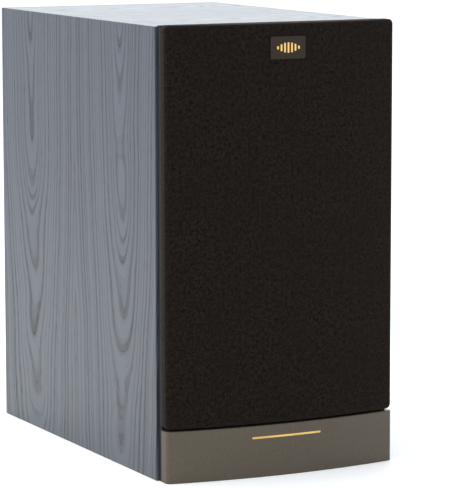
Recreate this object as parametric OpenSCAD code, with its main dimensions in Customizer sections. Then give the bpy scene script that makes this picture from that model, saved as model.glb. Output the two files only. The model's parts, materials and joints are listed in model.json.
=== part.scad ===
// Two-way bookshelf loudspeaker: a wood-grain wrapped bass-reflex cabinet with a
// bowed cloth grille, a bowed trim strip, a woofer, a dome tweeter, a rear port
// and four binding posts. +Z is up, the front faces -Y, the origin is at the
// centre of the footprint. Millimetres.

/* [Cabinet] */
// Outside width of the cabinet
cab_w = 168; // [164:1:190]
// Outside height of the cabinet
cab_h = 292; // [290:1:320]
// Overall depth, badge to rear edges
total_d = 276; // [270:1:300]
// Thickness of the wrapped panels
panel_t = 12; // [10:0.5:13]
// Depth of the rear panel's face below the rear edges
rear_recess = 3; // [3:0.5:5]
// Thickness of the baffle's plug inside the panels
plug_t = 14; // [12:0.5:16]

/* [Front] */
// Thickness of the baffle's rim in front of the panels
rim_t = 4; // [4:0.5:8]
// Thickness of trim and grille at their sides
front_side_t = 8.5; // [7:0.5:10]
// Rise of the bowed front at its middle
bow = 8; // [4:0.5:9]
// How far trim and grille sit in from the cabinet's sides and top
front_inset = 1.5; // [1:0.5:3]
// Radius of the upright front corners, seen from above
corner_r = 3; // [1.5:0.5:5]
// Height of the trim strip
trim_h = 34; // [28:1:36]
// Gap between trim strip and grille
grille_gap = 1.2; // [0.8:0.1:2]
// How far the grille stands above the cabinet's top
grille_proud = 1; // [0:0.2:2]
// Radius of the grille's corners, seen from the front
grille_corner_r = 3.5; // [2:0.5:6]
// Thickness of the grille cloth
cloth_t = 0.8; // [0.5:0.1:1.2]
// Wall thickness of the grille frame and the trim
shell_t = 2.6; // [2:0.2:3.4]
// Badge width
badge_w = 25; // [20:1:36]
// Badge height
badge_h = 14.5; // [10:0.5:18]

/* [Drivers] */
// Outer radius of the woofer's flange
woofer_r = 66; // [60:1:66]
// Outer radius of the woofer's cone
cone_r = 46; // [42:1:48]
// Radius of the woofer's voice coil former
coil_r = 12.5; // [12:0.5:13]
// Outer radius of the tweeter's faceplate
tweeter_r = 47; // [42:1:47]
// Radius of the tweeter's dome
dome_r = 12.5; // [11:0.5:13]

/* [Rear] */
// Inner radius of the port
port_r = 22; // [18:1:24]
// Length of the port tube
port_len = 96; // [60:1:100]
// Distance between binding posts, side by side
post_dx = 19; // [18:0.5:20]
// Distance between binding posts, up and down
post_dz = 30; // [26:1:34]
// Width and height of the terminal cup's flange
cup_w = 84; // [80:1:92]

/* [Hidden] */
$fn = 96;

// Places along Y, front to rear
badge_proud = 1;
bow_y = -total_d / 2 + badge_proud;
baffle_y = bow_y + bow + front_side_t;
panel_y = baffle_y + rim_t;
plug_y = panel_y + plug_t;
rear_y = total_d / 2;
rear_face_y = rear_y - rear_recess;
rear_inner_y = rear_face_y - panel_t;

// The bow is an arc through the middle and both side edges
front_half = cab_w / 2 - front_inset;
bow_r = (pow(front_half, 2) + pow(bow, 2)) / (2 * bow);
bow_centre_y = bow_y + bow_r;

// Places on the baffle
woofer_z = trim_h + 77;
tweeter_z = cab_h - 56;
grille_back_y = baffle_y - 0.1;
grille_z0 = trim_h + grille_gap;
grille_z1 = cab_h + grille_proud;
badge_drop = 8.3;
badge_z = grille_z1 - badge_drop - badge_h / 2;
peg_x = cab_w / 2 - 20;
peg_inset = 22.5;
peg_z = [grille_z0 + 10.8, grille_z1 - peg_inset];
peg_r = 2.9;
accent_w = 50;
accent_h = 1.4;
accent_t = 0.4;
accent_z = trim_h * 0.77;
socket_bore_r = 3;

// Woofer, depths measured from the baffle's face
flange_s = 2;
flange_t = 3;
neck_s = 24;
spider_s = 30;
terminal_s = 31.6;
plate_s = 39;
plate_t = 5;
magnet_t = 14;
yoke_t = 5;
former_t = 0.5;
winding_t = 0.5;
magnet_r = 42;
roll_r = (woofer_r - 12 - cone_r) / 2;
woofer_screw_r = woofer_r - 4;
woofer_screw_n = 6;

// Tweeter, depths measured from the baffle's face
face_t = 4;
dome_s = 11;
tweeter_plate_s = 14;
tweeter_screw_r = tweeter_r - 5;
tweeter_screw_n = 4;

// Rear fittings
port_z = cab_h - 84;
port_wall = 2.5;
cup_z = 72;
cup_lip_t = 2.4;
gasket_t = 0.6;
cup_floor_y = rear_face_y - 19;
cup_floor_t = 3;
cup_in_w = 58;
screw_sink = 1.2;
post_r = 2.92;
cap_bore_r = 3;
banana_r = 2;
banana_len = 15;
collar_t = 3;
strap_t = 1;
washer_t = 1;
cap_len = 14;
cap_r = 6;
flute_n = 18;
post_tip_y = cup_floor_y + collar_t + 15.5;
strap_y = cup_floor_y + collar_t;
washer_y = strap_y + strap_t;
cap_y = washer_y + washer_t;

// Crossover board
board_y = [26, 112];
board_x = [-48, 48];
board_z = panel_t + 6;
board_t = 1.6;

// Finish colours
wrap = [0.23, 0.24, 0.26];
black = [0.09, 0.09, 0.09];
bronze = [0.39, 0.36, 0.32];
gold = [0.83, 0.68, 0.32];
steel = [0.66, 0.67, 0.69];

// A box between two corners
module slab(low, high) {
    translate(low) cube(high - low);
}

// Extrudes an X-Z outline from y0 to y1
module upright(y0, y1) {
    translate([0, y1, 0]) rotate([90, 0, 0]) linear_extrude(height = y1 - y0) children();
}

// A straight round bar along Y
module bar_y(x, z, y0, y1, r) {
    translate([x, y0, z]) rotate([-90, 0, 0]) cylinder(h = y1 - y0, r = r);
}

// A ring along Y
module ring_y(x, z, y0, y1, r_in, r_out) {
    translate([x, y0, z]) rotate([-90, 0, 0]) difference() {
        cylinder(h = y1 - y0, r = r_out);
        translate([0, 0, -1]) cylinder(h = y1 - y0 + 2, r = r_in);
    }
}

// Turns an outline of [radius, depth behind the baffle face] about a driver's axis
module turned(z, points) {
    translate([0, baffle_y, z]) rotate([-90, 0, 0]) rotate_extrude() polygon(points);
}

// A rectangle with rounded corners, centred
module round_rect(w, h, r) {
    square([w - 2 * r, h], center = true);
    square([w, h - 2 * r], center = true);
    for (sx = [-1, 1], sy = [-1, 1])
        translate([sx * (w / 2 - r), sy * (h / 2 - r)]) circle(r = r);
}

// Plan outline of the bowed front, drawn in by inset, closed at y = back
module bowed_plan(inset, back) {
    r = max(corner_r - inset, 0.6);
    big = bow_r - inset;
    half = front_half - inset;
    cx = half - r;
    cy = bow_centre_y - sqrt(pow(big - r, 2) - pow(cx, 2));
    tangent_x = cx * big / (big - r);
    intersection() {
        translate([0, bow_centre_y]) circle(r = big, $fn = 360);
        translate([-tangent_x, bow_y - 1]) square([2 * tangent_x, back - bow_y + 1]);
    }
    translate([-half, cy]) square([2 * half, back - cy]);
    for (sx = [-1, 1]) translate([sx * cx, cy]) circle(r = r);
}

// The bowed front as a block between two heights
module bowed_block(inset, back, z0, z1) {
    translate([0, 0, z0]) linear_extrude(height = z1 - z0) bowed_plan(inset, back);
}

// The grille's block with its corners rounded as seen from the front
module grille_block(inset, back) {
    h = grille_z1 - grille_z0 - 2 * inset;
    mid = (grille_z0 + grille_z1) / 2;
    intersection() {
        bowed_block(inset, back, grille_z0 + inset, grille_z1 - inset);
        upright(bow_y - 2, back + 1) translate([0, mid])
            round_rect(2 * (front_half - inset), h, max(grille_corner_r - inset, 0.8));
    }
}

// The four places of the grille's pegs
module at_pegs() {
    for (sx = [-1, 1], z = peg_z) translate([sx * peg_x, 0, z]) children();
}

// Screws spaced around a driver
module at_circle(z, r, n, first) {
    for (i = [0 : n - 1]) {
        a = first + i * 360 / n;
        translate([r * cos(a), 0, z + r * sin(a)]) children();
    }
}

// A pan-head screw along +Y whose head sits in front of y0
module screw_y(y0, head_r, head_t, shank_r, len) {
    difference() {
        bar_y(0, 0, y0 - head_t, y0, head_r);
        slab([-0.4, y0 - head_t - 1, -head_r * 0.6], [0.4, y0 - head_t + 0.8, head_r * 0.6]);
        slab([-head_r * 0.6, y0 - head_t - 1, -0.4], [head_r * 0.6, y0 - head_t + 0.8, 0.4]);
    }
    bar_y(0, 0, y0, y0 + len, shank_r);
}

// Points on a smooth curve through a route
function spline(a, b, c, d, t) = 0.5 * (2 * b + (c - a) * t
    + (2 * a - 5 * b + 4 * c - d) * t * t + (3 * b - a - 3 * c + d) * t * t * t);
function smooth(route, steps) = [
    for (i = [0 : len(route) - 2], k = [0 : steps - 1])
        spline(route[max(i - 1, 0)], route[i], route[i + 1],
               route[min(i + 2, len(route) - 1)], k / steps),
    route[len(route) - 1]
];
function unit(v) = v / norm(v);
function heading(path, i) =
    unit(path[min(i + 1, len(path) - 1)] - path[max(i - 1, 0)]);
function side_of(t) = unit(cross(t, abs(t[0]) < 0.8 ? [1, 0, 0] : [0, 0, 1]));

// Carries the ring's first direction along the path without twisting
function frames(path, i, side, out) = i == len(path) ? out :
    let (t = heading(path, i), s = unit(side - (side * t) * t))
    frames(path, i + 1, s, concat(out, [[s, cross(t, s)]]));

// A round wire swept along a route
module wire(route, r, steps = 3, sides = 8) {
    path = smooth(route, steps);
    n = len(path);
    around = frames(path, 0, side_of(heading(path, 0)), []);
    points = [
        for (i = [0 : n - 1], k = [0 : sides - 1])
            let (a = k * 360 / sides)
            path[i] + r * (cos(a) * around[i][0] + sin(a) * around[i][1])
    ];
    walls = [
        for (i = [0 : n - 2], k = [0 : sides - 1])
            let (a = i * sides + k, b = i * sides + (k + 1) % sides)
            [a, b, b + sides, a + sides]
    ];
    first = [for (k = [sides - 1 : -1 : 0]) k];
    last = [for (k = [0 : sides - 1]) (n - 1) * sides + k];
    polyhedron(points = points, faces = concat([first], walls, [last]));
}

// ---------------------------------------------------------------- cabinet

// One side panel, mitred at its top and bottom edges
module side_panel() {
    upright(panel_y, rear_y) polygon([
        [-cab_w / 2, 0], [-cab_w / 2, cab_h],
        [-cab_w / 2 + panel_t, cab_h - panel_t], [-cab_w / 2 + panel_t, panel_t]
    ]);
}

// The bottom panel, mitred at its sides
module end_panel() {
    upright(panel_y, rear_y) polygon([
        [-cab_w / 2, 0], [-cab_w / 2 + panel_t, panel_t],
        [cab_w / 2 - panel_t, panel_t], [cab_w / 2, 0]
    ]);
}

module left_side_panel() { color(wrap) side_panel(); }

module right_side_panel() { color(wrap) mirror([1, 0, 0]) side_panel(); }

module bottom_panel() { color(wrap) end_panel(); }

module top_panel() {
    color(wrap) translate([0, 0, cab_h]) mirror([0, 0, 1]) end_panel();
}

// Rear panel with its port hole, its terminal cut-out and screw holes
module rear_panel() {
    inner_w = cab_w - 2 * panel_t;
    color(wrap) difference() {
        slab([-inner_w / 2, rear_inner_y, panel_t], [inner_w / 2, rear_face_y, cab_h - panel_t]);
        bar_y(0, port_z, rear_inner_y - 1, rear_face_y + 1, port_r + port_wall + 0.2);
        upright(rear_inner_y - 1, rear_face_y + 1)
            translate([0, cup_z]) round_rect(cup_in_w + 8, cup_in_w + 8, 6);
        at_cup_corners() bar_y(0, 0, rear_inner_y - 1, rear_face_y + 1, 1.4);
    }
}

// Baffle: a rim that caps the panels' front edges and a plug that fits between them
module front_baffle() {
    inner_w = cab_w - 2 * panel_t;
    rim_in = 0.3;
    color(black) difference() {
        union() {
            slab([rim_in - front_half, baffle_y, rim_in],
                 [front_half - rim_in, panel_y, grille_z1 - rim_in]);
            slab([-inner_w / 2, panel_y, panel_t], [inner_w / 2, plug_y, cab_h - panel_t]);
        }
        bar_y(0, woofer_z, baffle_y - 1, baffle_y + flange_s + flange_t, woofer_r + 0.4);
        bar_y(0, woofer_z, baffle_y, plug_y + 1, woofer_r - 8);
        bar_y(0, tweeter_z, baffle_y - 1, baffle_y + face_t, tweeter_r + 0.3);
        bar_y(0, tweeter_z, baffle_y, plug_y + 1, tweeter_r - 11);
        at_circle(woofer_z, woofer_screw_r, woofer_screw_n, 30)
            bar_y(0, 0, baffle_y, baffle_y + 17, 1.6);
        at_circle(tweeter_z, tweeter_screw_r, tweeter_screw_n, 45)
            bar_y(0, 0, baffle_y, baffle_y + 16.5, 1.4);
        at_pegs() bar_y(0, 0, baffle_y - 1, baffle_y + 1.2, 6.1);
        at_pegs() bar_y(0, 0, baffle_y, baffle_y + 12, 4.6);
        at_trim_studs() bar_y(0, 0, baffle_y - 1, baffle_y + 12.2, 2.6);
    }
}

// Brace with two windows, glued between the four panels
module window_brace() {
    inner_w = cab_w - 2 * panel_t;
    bridge_z = cab_h / 2 - 2;
    color("burlywood") difference() {
        slab([-inner_w / 2, -2, panel_t], [inner_w / 2, 10, cab_h - panel_t]);
        for (z = [[38, bridge_z - 8], [bridge_z + 8, cab_h - 36]])
            upright(-3, 11) translate([0, (z[0] + z[1]) / 2])
                round_rect(inner_w - 44, z[1] - z[0], 10);
    }
}

// Four glue blocks in the corners behind the baffle
module corner_blocks() {
    leg = 13;
    depth = 52;
    inner = cab_w / 2 - panel_t;
    color("burlywood") for (sx = [0, 1], sz = [0, 1])
        mirror([sx, 0, 0]) translate([0, 0, sz * cab_h]) mirror([0, 0, sz])
            upright(plug_y, plug_y + depth) polygon([
                [-inner, panel_t], [-inner + leg, panel_t], [-inner, panel_t + leg]
            ]);
}

// Fibre blanket along both sides and under the top, behind the brace
module damping_wadding() {
    inner = cab_w / 2 - panel_t;
    t = 16;
    y0 = 12;
    y1 = rear_inner_y - 6;
    low = panel_t + 34;
    color("whitesmoke") upright(y0, y1) polygon([
        [-inner, low], [-inner, cab_h - panel_t], [inner, cab_h - panel_t], [inner, low],
        [inner - t, low], [inner - t, cab_h - panel_t - t],
        [t - inner, cab_h - panel_t - t], [t - inner, low]
    ]);
}

// ---------------------------------------------------------------- front pieces

// The two places of the trim's studs
module at_trim_studs() {
    for (sx = [-1, 1]) translate([sx * 55, 0, trim_h / 2]) children();
}

// Trim strip: a moulded shell with two bosses behind its face
module bottom_trim() {
    boss_front = baffle_y - front_side_t + shell_t;
    color(bronze) difference() {
        union() {
            difference() {
                bowed_block(0, baffle_y, 0, trim_h);
                bowed_block(shell_t, baffle_y + 1, shell_t, trim_h - shell_t);
            }
            at_trim_studs() bar_y(0, 0, boss_front - 3, baffle_y, 5);
        }
        at_trim_studs() bar_y(0, 0, baffle_y - 5, baffle_y + 1, 2.5);
        accent_bar(0.15);
    }
}

// The accent's bar, let into the trim's face; its pocket is larger by grow
module accent_bar(grow) {
    w = accent_w + grow;
    h = accent_h + grow;
    intersection() {
        difference() {
            bowed_block(0, baffle_y, 2, trim_h - 2);
            bowed_block(accent_t, baffle_y + 1, 1, trim_h - 1);
        }
        slab([-w / 2, bow_y - 1, accent_z - h / 2], [w / 2, baffle_y, accent_z + h / 2]);
    }
}

module trim_accent() { color(gold) accent_bar(0); }

// Push-in studs that hold the trim to the baffle
module trim_studs() {
    color(black) at_trim_studs() bar_y(0, 0, baffle_y - 4.8, baffle_y + 12, 2.4);
}

// Cups in the baffle that take the grille's pegs
module grille_sockets() {
    color(black) at_pegs() difference() {
        union() {
            bar_y(0, 0, baffle_y + 0.1, baffle_y + 1.2, 6);
            bar_y(0, 0, baffle_y + 1.2, baffle_y + 11.8, 4.5);
        }
        bar_y(0, 0, baffle_y - 1, baffle_y + 10.4, socket_bore_r);
    }
}

// Grille frame: a bowed moulded shell with a round window for each driver
module grille_frame() {
    window_w = woofer_r + 2;
    window_t = tweeter_r + 2;
    skin = cloth_t + 0.1;
    color(black) difference() {
        union() {
            difference() {
                grille_block(skin, grille_back_y);
                grille_block(skin + shell_t, baffle_y + 1);
            }
            intersection() {
                grille_block(skin, grille_back_y);
                union() {
                    bar_y(0, woofer_z, bow_y, baffle_y, window_w + 2.4);
                    bar_y(0, tweeter_z, bow_y, baffle_y, window_t + 2.4);
                    at_pegs() bar_y(0, 0, bow_y, baffle_y, 6);
                }
            }
        }
        bar_y(0, woofer_z, bow_y - 1, baffle_y + 1, window_w);
        bar_y(0, tweeter_z, bow_y - 1, baffle_y + 1, window_t);
        at_pegs() bar_y(0, 0, baffle_y - 5, baffle_y + 1, peg_r);
    }
}

// Cloth stretched over the frame's face and wrapped round its edges
module grille_cloth() {
    color([0.12, 0.1, 0.09]) difference() {
        grille_block(0, grille_back_y);
        grille_block(cloth_t, baffle_y + 1);
        slab([-badge_w / 2, bow_y - 1, badge_z - badge_h / 2],
             [badge_w / 2, bow_y + cloth_t * 0.7, badge_z + badge_h / 2]);
    }
}

module grille_pegs() {
    color(black) at_pegs() {
        bar_y(0, 0, baffle_y - 5, baffle_y + 9, peg_r);
    }
}

// Badge, let into the cloth by part of its thickness
module badge_plate() {
    back = bow_y + cloth_t * 0.7;
    front = bow_y - badge_proud * 0.7;
    color(black) difference() {
        upright(front, back) translate([0, badge_z]) round_rect(badge_w, badge_h, 1);
        emblem_bars(front - 1, front + 0.3, 0.05);
    }
}

// Seven upright bars of rising and falling height
module emblem_bars(y0, y1, grow) {
    pitch = badge_w / 10;
    for (i = [-3 : 3]) {
        h = badge_h * 0.46 * cos(i * 24);
        upright(y0, y1) translate([i * pitch, badge_z])
            square([pitch * 0.52 + 2 * grow, h + 2 * grow], center = true);
    }
}

module badge_emblem() {
    front = bow_y - badge_proud * 0.7;
    color(gold) emblem_bars(bow_y - badge_proud, front + 0.3, 0);
}

// ---------------------------------------------------------------- woofer

// Pressed basket: a flange, six spokes and a seat for the motor
module woofer_frame() {
    wall = 1.6;
    f0 = flange_s;
    f1 = flange_s + flange_t;
    seat_r = magnet_r - 2;
    throat_r = woofer_r - 12;
    ledge_s = spider_s + 1.2;
    color(black) difference() {
        turned(woofer_z, [
            [throat_r, f0], [woofer_r, f0], [woofer_r, f1], [throat_r + 2, f1],
            [throat_r + 1, f1 + 3], [seat_r + 2, ledge_s], [seat_r + 2, plate_s - wall],
            [seat_r + 2, plate_s], [18, plate_s], [18, plate_s - wall],
            [seat_r + 2 - wall, plate_s - wall], [seat_r + 2 - wall, ledge_s + wall],
            [seat_r - 5, ledge_s + wall], [seat_r - 5, ledge_s],
            [seat_r + 2 - wall, ledge_s], [throat_r + 1 - wall, f1 + 3], [throat_r, f1]
        ]);
        for (i = [0 : 5]) translate([0, 0, woofer_z]) rotate([0, i * 60, 0])
            slab([-13, baffle_y + f1 + 5, 30], [13, baffle_y + ledge_s - 4, 80]);
        at_circle(woofer_z, woofer_screw_r, woofer_screw_n, 30)
            bar_y(0, 0, baffle_y, baffle_y + 10, 1.8);
    }
}

// Soft ring that holds the surround's lip on the flange
module woofer_gasket_ring() {
    color([0.13, 0.13, 0.13])
        ring_y(0, woofer_z, baffle_y + 0.6, baffle_y + flange_s, woofer_r - 11.2, woofer_r - 7.6);
}

// Half-roll rubber surround
module woofer_surround() {
    mid = cone_r + roll_r;
    wall = 0.7;
    s = flange_s - 0.1;
    n = 12;
    color([0.1, 0.1, 0.1]) turned(woofer_z, concat(
        [for (i = [0 : n]) [mid - roll_r * cos(i * 180 / n), s - roll_r * sin(i * 180 / n)]],
        [for (i = [n : -1 : 0]) [mid - (roll_r - wall) * cos(i * 180 / n),
                                 s - (roll_r - wall) * sin(i * 180 / n)]]
    ));
}

// Depth of the cone's front face at a radius
function cone_s(r) = flange_s + 0.4 + (neck_s - flange_s) * pow((cone_r - r) / (cone_r - coil_r), 0.86);

module woofer_cone() {
    wall = 0.8;
    n = 10;
    r0 = coil_r + former_t + 0.1;
    r1 = cone_r - 0.3;
    color([0.2, 0.2, 0.21]) turned(woofer_z, concat(
        [for (i = [0 : n]) let (r = r0 + (r1 - r0) * i / n) [r, cone_s(r)]],
        [for (i = [n : -1 : 0]) let (r = r0 + (r1 - r0) * i / n) [r, cone_s(r) + wall]]
    ));
}

// Outline of a dome's wall: its rim at depth s0, its top nearer the front by rise
module dome_outline(rim_r, rise, wall, s0) {
    ball = (rim_r * rim_r + rise * rise) / (2 * rise);
    intersection() {
        translate([0, s0 - rise + ball]) difference() {
            circle(r = ball, $fn = 180);
            circle(r = ball - wall, $fn = 180);
        }
        translate([0, s0 - rise - 1]) square([rim_r, rise + 1]);
    }
}

// Turns a child outline about a driver's axis
module turned_shape(z) {
    translate([0, baffle_y, z]) rotate([-90, 0, 0]) rotate_extrude() children();
}

// Domed dust cap over the voice coil
module woofer_dust_cap() {
    cap = 19;
    color([0.16, 0.16, 0.17]) turned_shape(woofer_z) dome_outline(cap, 6, 0.6, cone_s(cap) - 0.05);
}

module woofer_former() {
    color("tan") ring_y(0, woofer_z, baffle_y + neck_s - 1, baffle_y + plate_s + 8,
                        coil_r, coil_r + former_t);
}

module woofer_winding() {
    color("chocolate") ring_y(0, woofer_z, baffle_y + plate_s - 2, baffle_y + plate_s + 7.6,
                              coil_r + former_t, coil_r + former_t + winding_t);
}

// Corrugated spider, drawn as rings of rising and falling depth
module woofer_spider() {
    r0 = coil_r + former_t + 0.3;
    r1 = magnet_r - 2.4;
    wall = 0.6;
    n = 40;
    color([0.72, 0.55, 0.25]) turned(woofer_z, concat(
        [for (i = [0 : n]) [r0 + (r1 - r0) * i / n, spider_s + 0.35 * (1 - cos(i * 72))]],
        [for (i = [n : -1 : 0]) [r0 + (r1 - r0) * i / n, spider_s - wall + 0.35 * (1 - cos(i * 72))]]
    ));
}

module woofer_top_plate() {
    color(steel) ring_y(0, woofer_z, baffle_y + plate_s, baffle_y + plate_s + plate_t,
                        coil_r + former_t + winding_t + 0.4, magnet_r - 2);
}

module woofer_magnet() {
    y0 = baffle_y + plate_s + plate_t;
    color([0.2, 0.2, 0.21]) ring_y(0, woofer_z, y0, y0 + magnet_t, 20, magnet_r);
}

// Back plate and vented pole in one forging
module woofer_yoke() {
    back_s = plate_s + plate_t + magnet_t;
    color(steel) turned(woofer_z, [
        [4, plate_s - 1], [coil_r - 0.5, plate_s - 1], [coil_r - 0.5, back_s],
        [magnet_r - 2, back_s], [magnet_r - 2, back_s + yoke_t], [4, back_s + yoke_t]
    ]);
}

// Terminal strip with two tabs on the basket's lower side
module woofer_terminal() {
    y0 = baffle_y + terminal_s;
    z0 = woofer_z - magnet_r;
    color("peru") {
        slab([-11, y0, z0 - 2], [11, y0 + 6, z0]);
        for (sx = [-1, 1]) translate([sx * 6, 0, 0])
            slab([-2, y0 + 1, z0 - 8], [2, y0 + 1.8, z0 - 2]);
    }
}

// Flexible leads from the tabs, in through the basket's window, to the voice coil
module woofer_leads() {
    y = baffle_y;
    z = woofer_z;
    color("orange") for (sx = [-1, 1]) wire([
        [sx * 7, y + terminal_s + 1, z - 47.5],
        [sx * 7, y + terminal_s - 4, z - 48],
        [sx * 7, y + 20, z - 46],
        [sx * 6.5, y + 19, z - 38],
        [sx * 6, y + 24, z - 26],
        [sx * 5, y + 27.2, z - 15]
    ], 0.6);
}

module woofer_screws() {
    color(steel) at_circle(woofer_z, woofer_screw_r, woofer_screw_n, 30)
        screw_y(baffle_y + flange_s, 3, 1.9, 1.5, 14);
}

// ---------------------------------------------------------------- tweeter

// Round faceplate with a shallow flared guide
module tweeter_faceplate() {
    mouth = tweeter_r - 9;
    throat = dome_r + 3.4;
    n = 8;
    back = dome_s + 1.6;
    color(black) difference() {
        turned(tweeter_z, concat(
            [[mouth + 2, 0], [tweeter_r, 0], [tweeter_r, face_t], [tweeter_r - 12, face_t],
             [tweeter_r - 14, back], [throat, back]],
            [for (i = [0 : n]) [throat + (mouth - throat) * pow(i / n, 1.7),
                                dome_s * (1 - i / n)]]
        ));
        at_circle(tweeter_z, tweeter_screw_r, tweeter_screw_n, 45) {
            bar_y(0, 0, baffle_y - 1, baffle_y + 2, 3);
            bar_y(0, 0, baffle_y, baffle_y + 8, 1.6);
        }
    }
}

// Soft dome with its own small roll edge
module tweeter_dome() {
    wall = 0.4;
    s0 = dome_s + 1;
    color([0.15, 0.15, 0.16]) turned_shape(tweeter_z) {
        dome_outline(dome_r, 4.6, wall, s0);
        polygon([
            [dome_r - 1, s0 - 0.35], [dome_r, s0 - 0.35], [dome_r + 1.4, s0 - 0.9], [dome_r + 3, s0],
            [dome_r + 3, s0 + wall], [dome_r + 1.4, s0 - 0.4], [dome_r, s0 + 0.1],
            [dome_r - 1, s0 + 0.1]
        ]);
    }
}

module tweeter_voice_coil() {
    color("chocolate") ring_y(0, tweeter_z, baffle_y + dome_s + 1.45, baffle_y + dome_s + 6.5,
                              dome_r - 0.3, dome_r + 0.3);
}

module tweeter_top_plate() {
    color(steel) ring_y(0, tweeter_z, baffle_y + tweeter_plate_s, baffle_y + tweeter_plate_s + 3,
                        dome_r + 0.8, 30);
}

module tweeter_magnet() {
    y0 = baffle_y + tweeter_plate_s + 3;
    color([0.2, 0.2, 0.21]) ring_y(0, tweeter_z, y0, y0 + 9, dome_r + 4, 32);
}

module tweeter_yoke() {
    back_s = tweeter_plate_s + 12;
    color(steel) turned(tweeter_z, [
        [0, tweeter_plate_s + 0.4], [dome_r - 0.8, tweeter_plate_s + 0.4],
        [dome_r - 0.8, back_s], [30, back_s], [30, back_s + 4], [0, back_s + 4]
    ]);
}

module tweeter_screws() {
    color(steel) at_circle(tweeter_z, tweeter_screw_r, tweeter_screw_n, 45)
        screw_y(baffle_y + 2, 2.8, 1.8, 1.3, 13);
}

// ---------------------------------------------------------------- rear pieces

// Port: a tube with a flange and flared ends, glued in the rear panel
module port_tube() {
    outer = port_r + port_wall;
    y1 = rear_face_y;
    y0 = y1 - port_len;
    flare = 5;
    n = 8;
    color(black) translate([0, y0, port_z]) rotate([-90, 0, 0]) rotate_extrude() polygon(concat(
        [[outer, 0], [outer, port_len], [outer + flare + 3, port_len],
         [outer + flare + 3, port_len + 2]],
        [for (i = [0 : n]) let (a = 90 * i / n)
            [port_r + flare * (1 - sin(a)), port_len + 2 - flare * (1 - cos(a))]],
        [[port_r, 0]]
    ));
}

// The four screw places of the terminal cup
module at_cup_corners() {
    d = cup_w / 2 - 6;
    for (sx = [-1, 1], sz = [-1, 1]) translate([sx * d, 0, cup_z + sz * d]) children();
}

// The four binding post places
module at_posts() {
    for (i = [1 : 4]) at_post(i) children();
}

// One post: 1 and 2 are the upper pair, 3 and 4 the lower, left before right
module at_post(i) {
    sx = i % 2 == 1 ? -1 : 1;
    sz = i <= 2 ? 1 : -1;
    translate([sx * post_dx / 2, 0, cup_z + sz * post_dz / 2]) children();
}

// Cup: a flange on the rear panel and a recessed floor that holds the posts
module terminal_cup() {
    wall = 2.4;
    lip_y = rear_face_y + gasket_t;
    color(black) difference() {
        union() {
            upright(lip_y, lip_y + cup_lip_t)
                translate([0, cup_z]) round_rect(cup_w, cup_w, 5);
            upright(cup_floor_y - cup_floor_t, lip_y)
                translate([0, cup_z]) round_rect(cup_in_w + 2 * wall, cup_in_w + 2 * wall, 5);
        }
        upright(cup_floor_y, rear_y + 2)
            translate([0, cup_z]) round_rect(cup_in_w, cup_in_w, 3.5);
        at_posts() bar_y(0, 0, cup_floor_y - 5, cup_floor_y + 1, 2.1);
        at_cup_corners() bar_y(0, 0, rear_face_y - 1, rear_y + 2, 1.7);
        at_cup_corners() bar_y(0, 0, lip_y + cup_lip_t - screw_sink, rear_y + 2, 3);
    }
}

module terminal_gasket() {
    color([0.1, 0.1, 0.1]) difference() {
        upright(rear_face_y, rear_face_y + gasket_t)
            translate([0, cup_z]) round_rect(cup_w, cup_w, 5);
        upright(rear_face_y - 1, rear_face_y + 1)
            translate([0, cup_z]) round_rect(cup_in_w + 8, cup_in_w + 8, 6);
        at_cup_corners() bar_y(0, 0, rear_face_y - 1, rear_face_y + 2, 1.7);
    }
}

module terminal_screws() {
    lip = rear_face_y + gasket_t + cup_lip_t;
    color(steel) at_cup_corners() {
        rotate([0, 0, 180]) screw_y(screw_sink - lip, 2.8, screw_sink, 1.3, 12);
    }
}

// Post: a hexagonal foot, a threaded stud bored for a 4 mm plug, and a tail
module binding_posts() {
    color(gold) at_posts() difference() {
        union() {
            bar_y(0, 0, cup_floor_y, cup_floor_y + collar_t, 5);
            bar_y(0, 0, cup_floor_y + collar_t, post_tip_y, post_r);
            bar_y(0, 0, cup_floor_y - 15, cup_floor_y, 2);
        }
        bar_y(0, 0, post_tip_y - banana_len, post_tip_y + 1, banana_r);
    }
}

// Hexagonal nuts that hold the posts from inside
module post_nuts() {
    y1 = cup_floor_y - cup_floor_t;
    color(steel) at_posts() difference() {
        translate([0, y1 - 3.2, 0]) rotate([-90, 0, 0]) cylinder(h = 3.2, r = 4.4, $fn = 6);
        bar_y(0, 0, y1 - 4, y1 + 1, 2.08);
    }
}

// Straps that join the upper and lower post of each side
module jumper_straps() {
    color(gold) for (sx = [-1, 1]) difference() {
        upright(strap_y, strap_y + strap_t) translate([sx * post_dx / 2, cup_z])
            round_rect(8.4, post_dz + 8.4, 4.1);
        at_posts() bar_y(0, 0, strap_y - 1, strap_y + strap_t + 1, cap_bore_r);
    }
}

// Loose washer under a cap
module post_washer(i) {
    color(gold) at_post(i) ring_y(0, 0, washer_y, washer_y + washer_t, cap_bore_r, cap_r - 0.4);
}

// Fluted cap that screws along the post and clamps the washer
module post_cap(i) {
    color(i % 2 == 1 ? [0.1, 0.1, 0.1] : [0.6, 0.05, 0.05]) at_post(i) difference() {
        bar_y(0, 0, cap_y, cap_y + cap_len, cap_r);
        bar_y(0, 0, cap_y - 1, cap_y + cap_len + 1, cap_bore_r);
        for (k = [0 : flute_n - 1]) rotate([0, k * 360 / flute_n, 0])
            bar_y(cap_r + 0.35, 0, cap_y + 2.5, cap_y + cap_len + 1, 0.7);
    }
}

module post_washer_1() { post_washer(1); }
module post_washer_2() { post_washer(2); }
module post_washer_3() { post_washer(3); }
module post_washer_4() { post_washer(4); }
module post_cap_1() { post_cap(1); }
module post_cap_2() { post_cap(2); }
module post_cap_3() { post_cap(3); }
module post_cap_4() { post_cap(4); }

// ---------------------------------------------------------------- crossover

// The four places of the board's standoffs
module at_board_corners() {
    for (x = [board_x[0] + 5, board_x[1] - 5], y = [board_y[0] + 5, board_y[1] - 5])
        translate([x, y, 0]) children();
}

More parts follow.
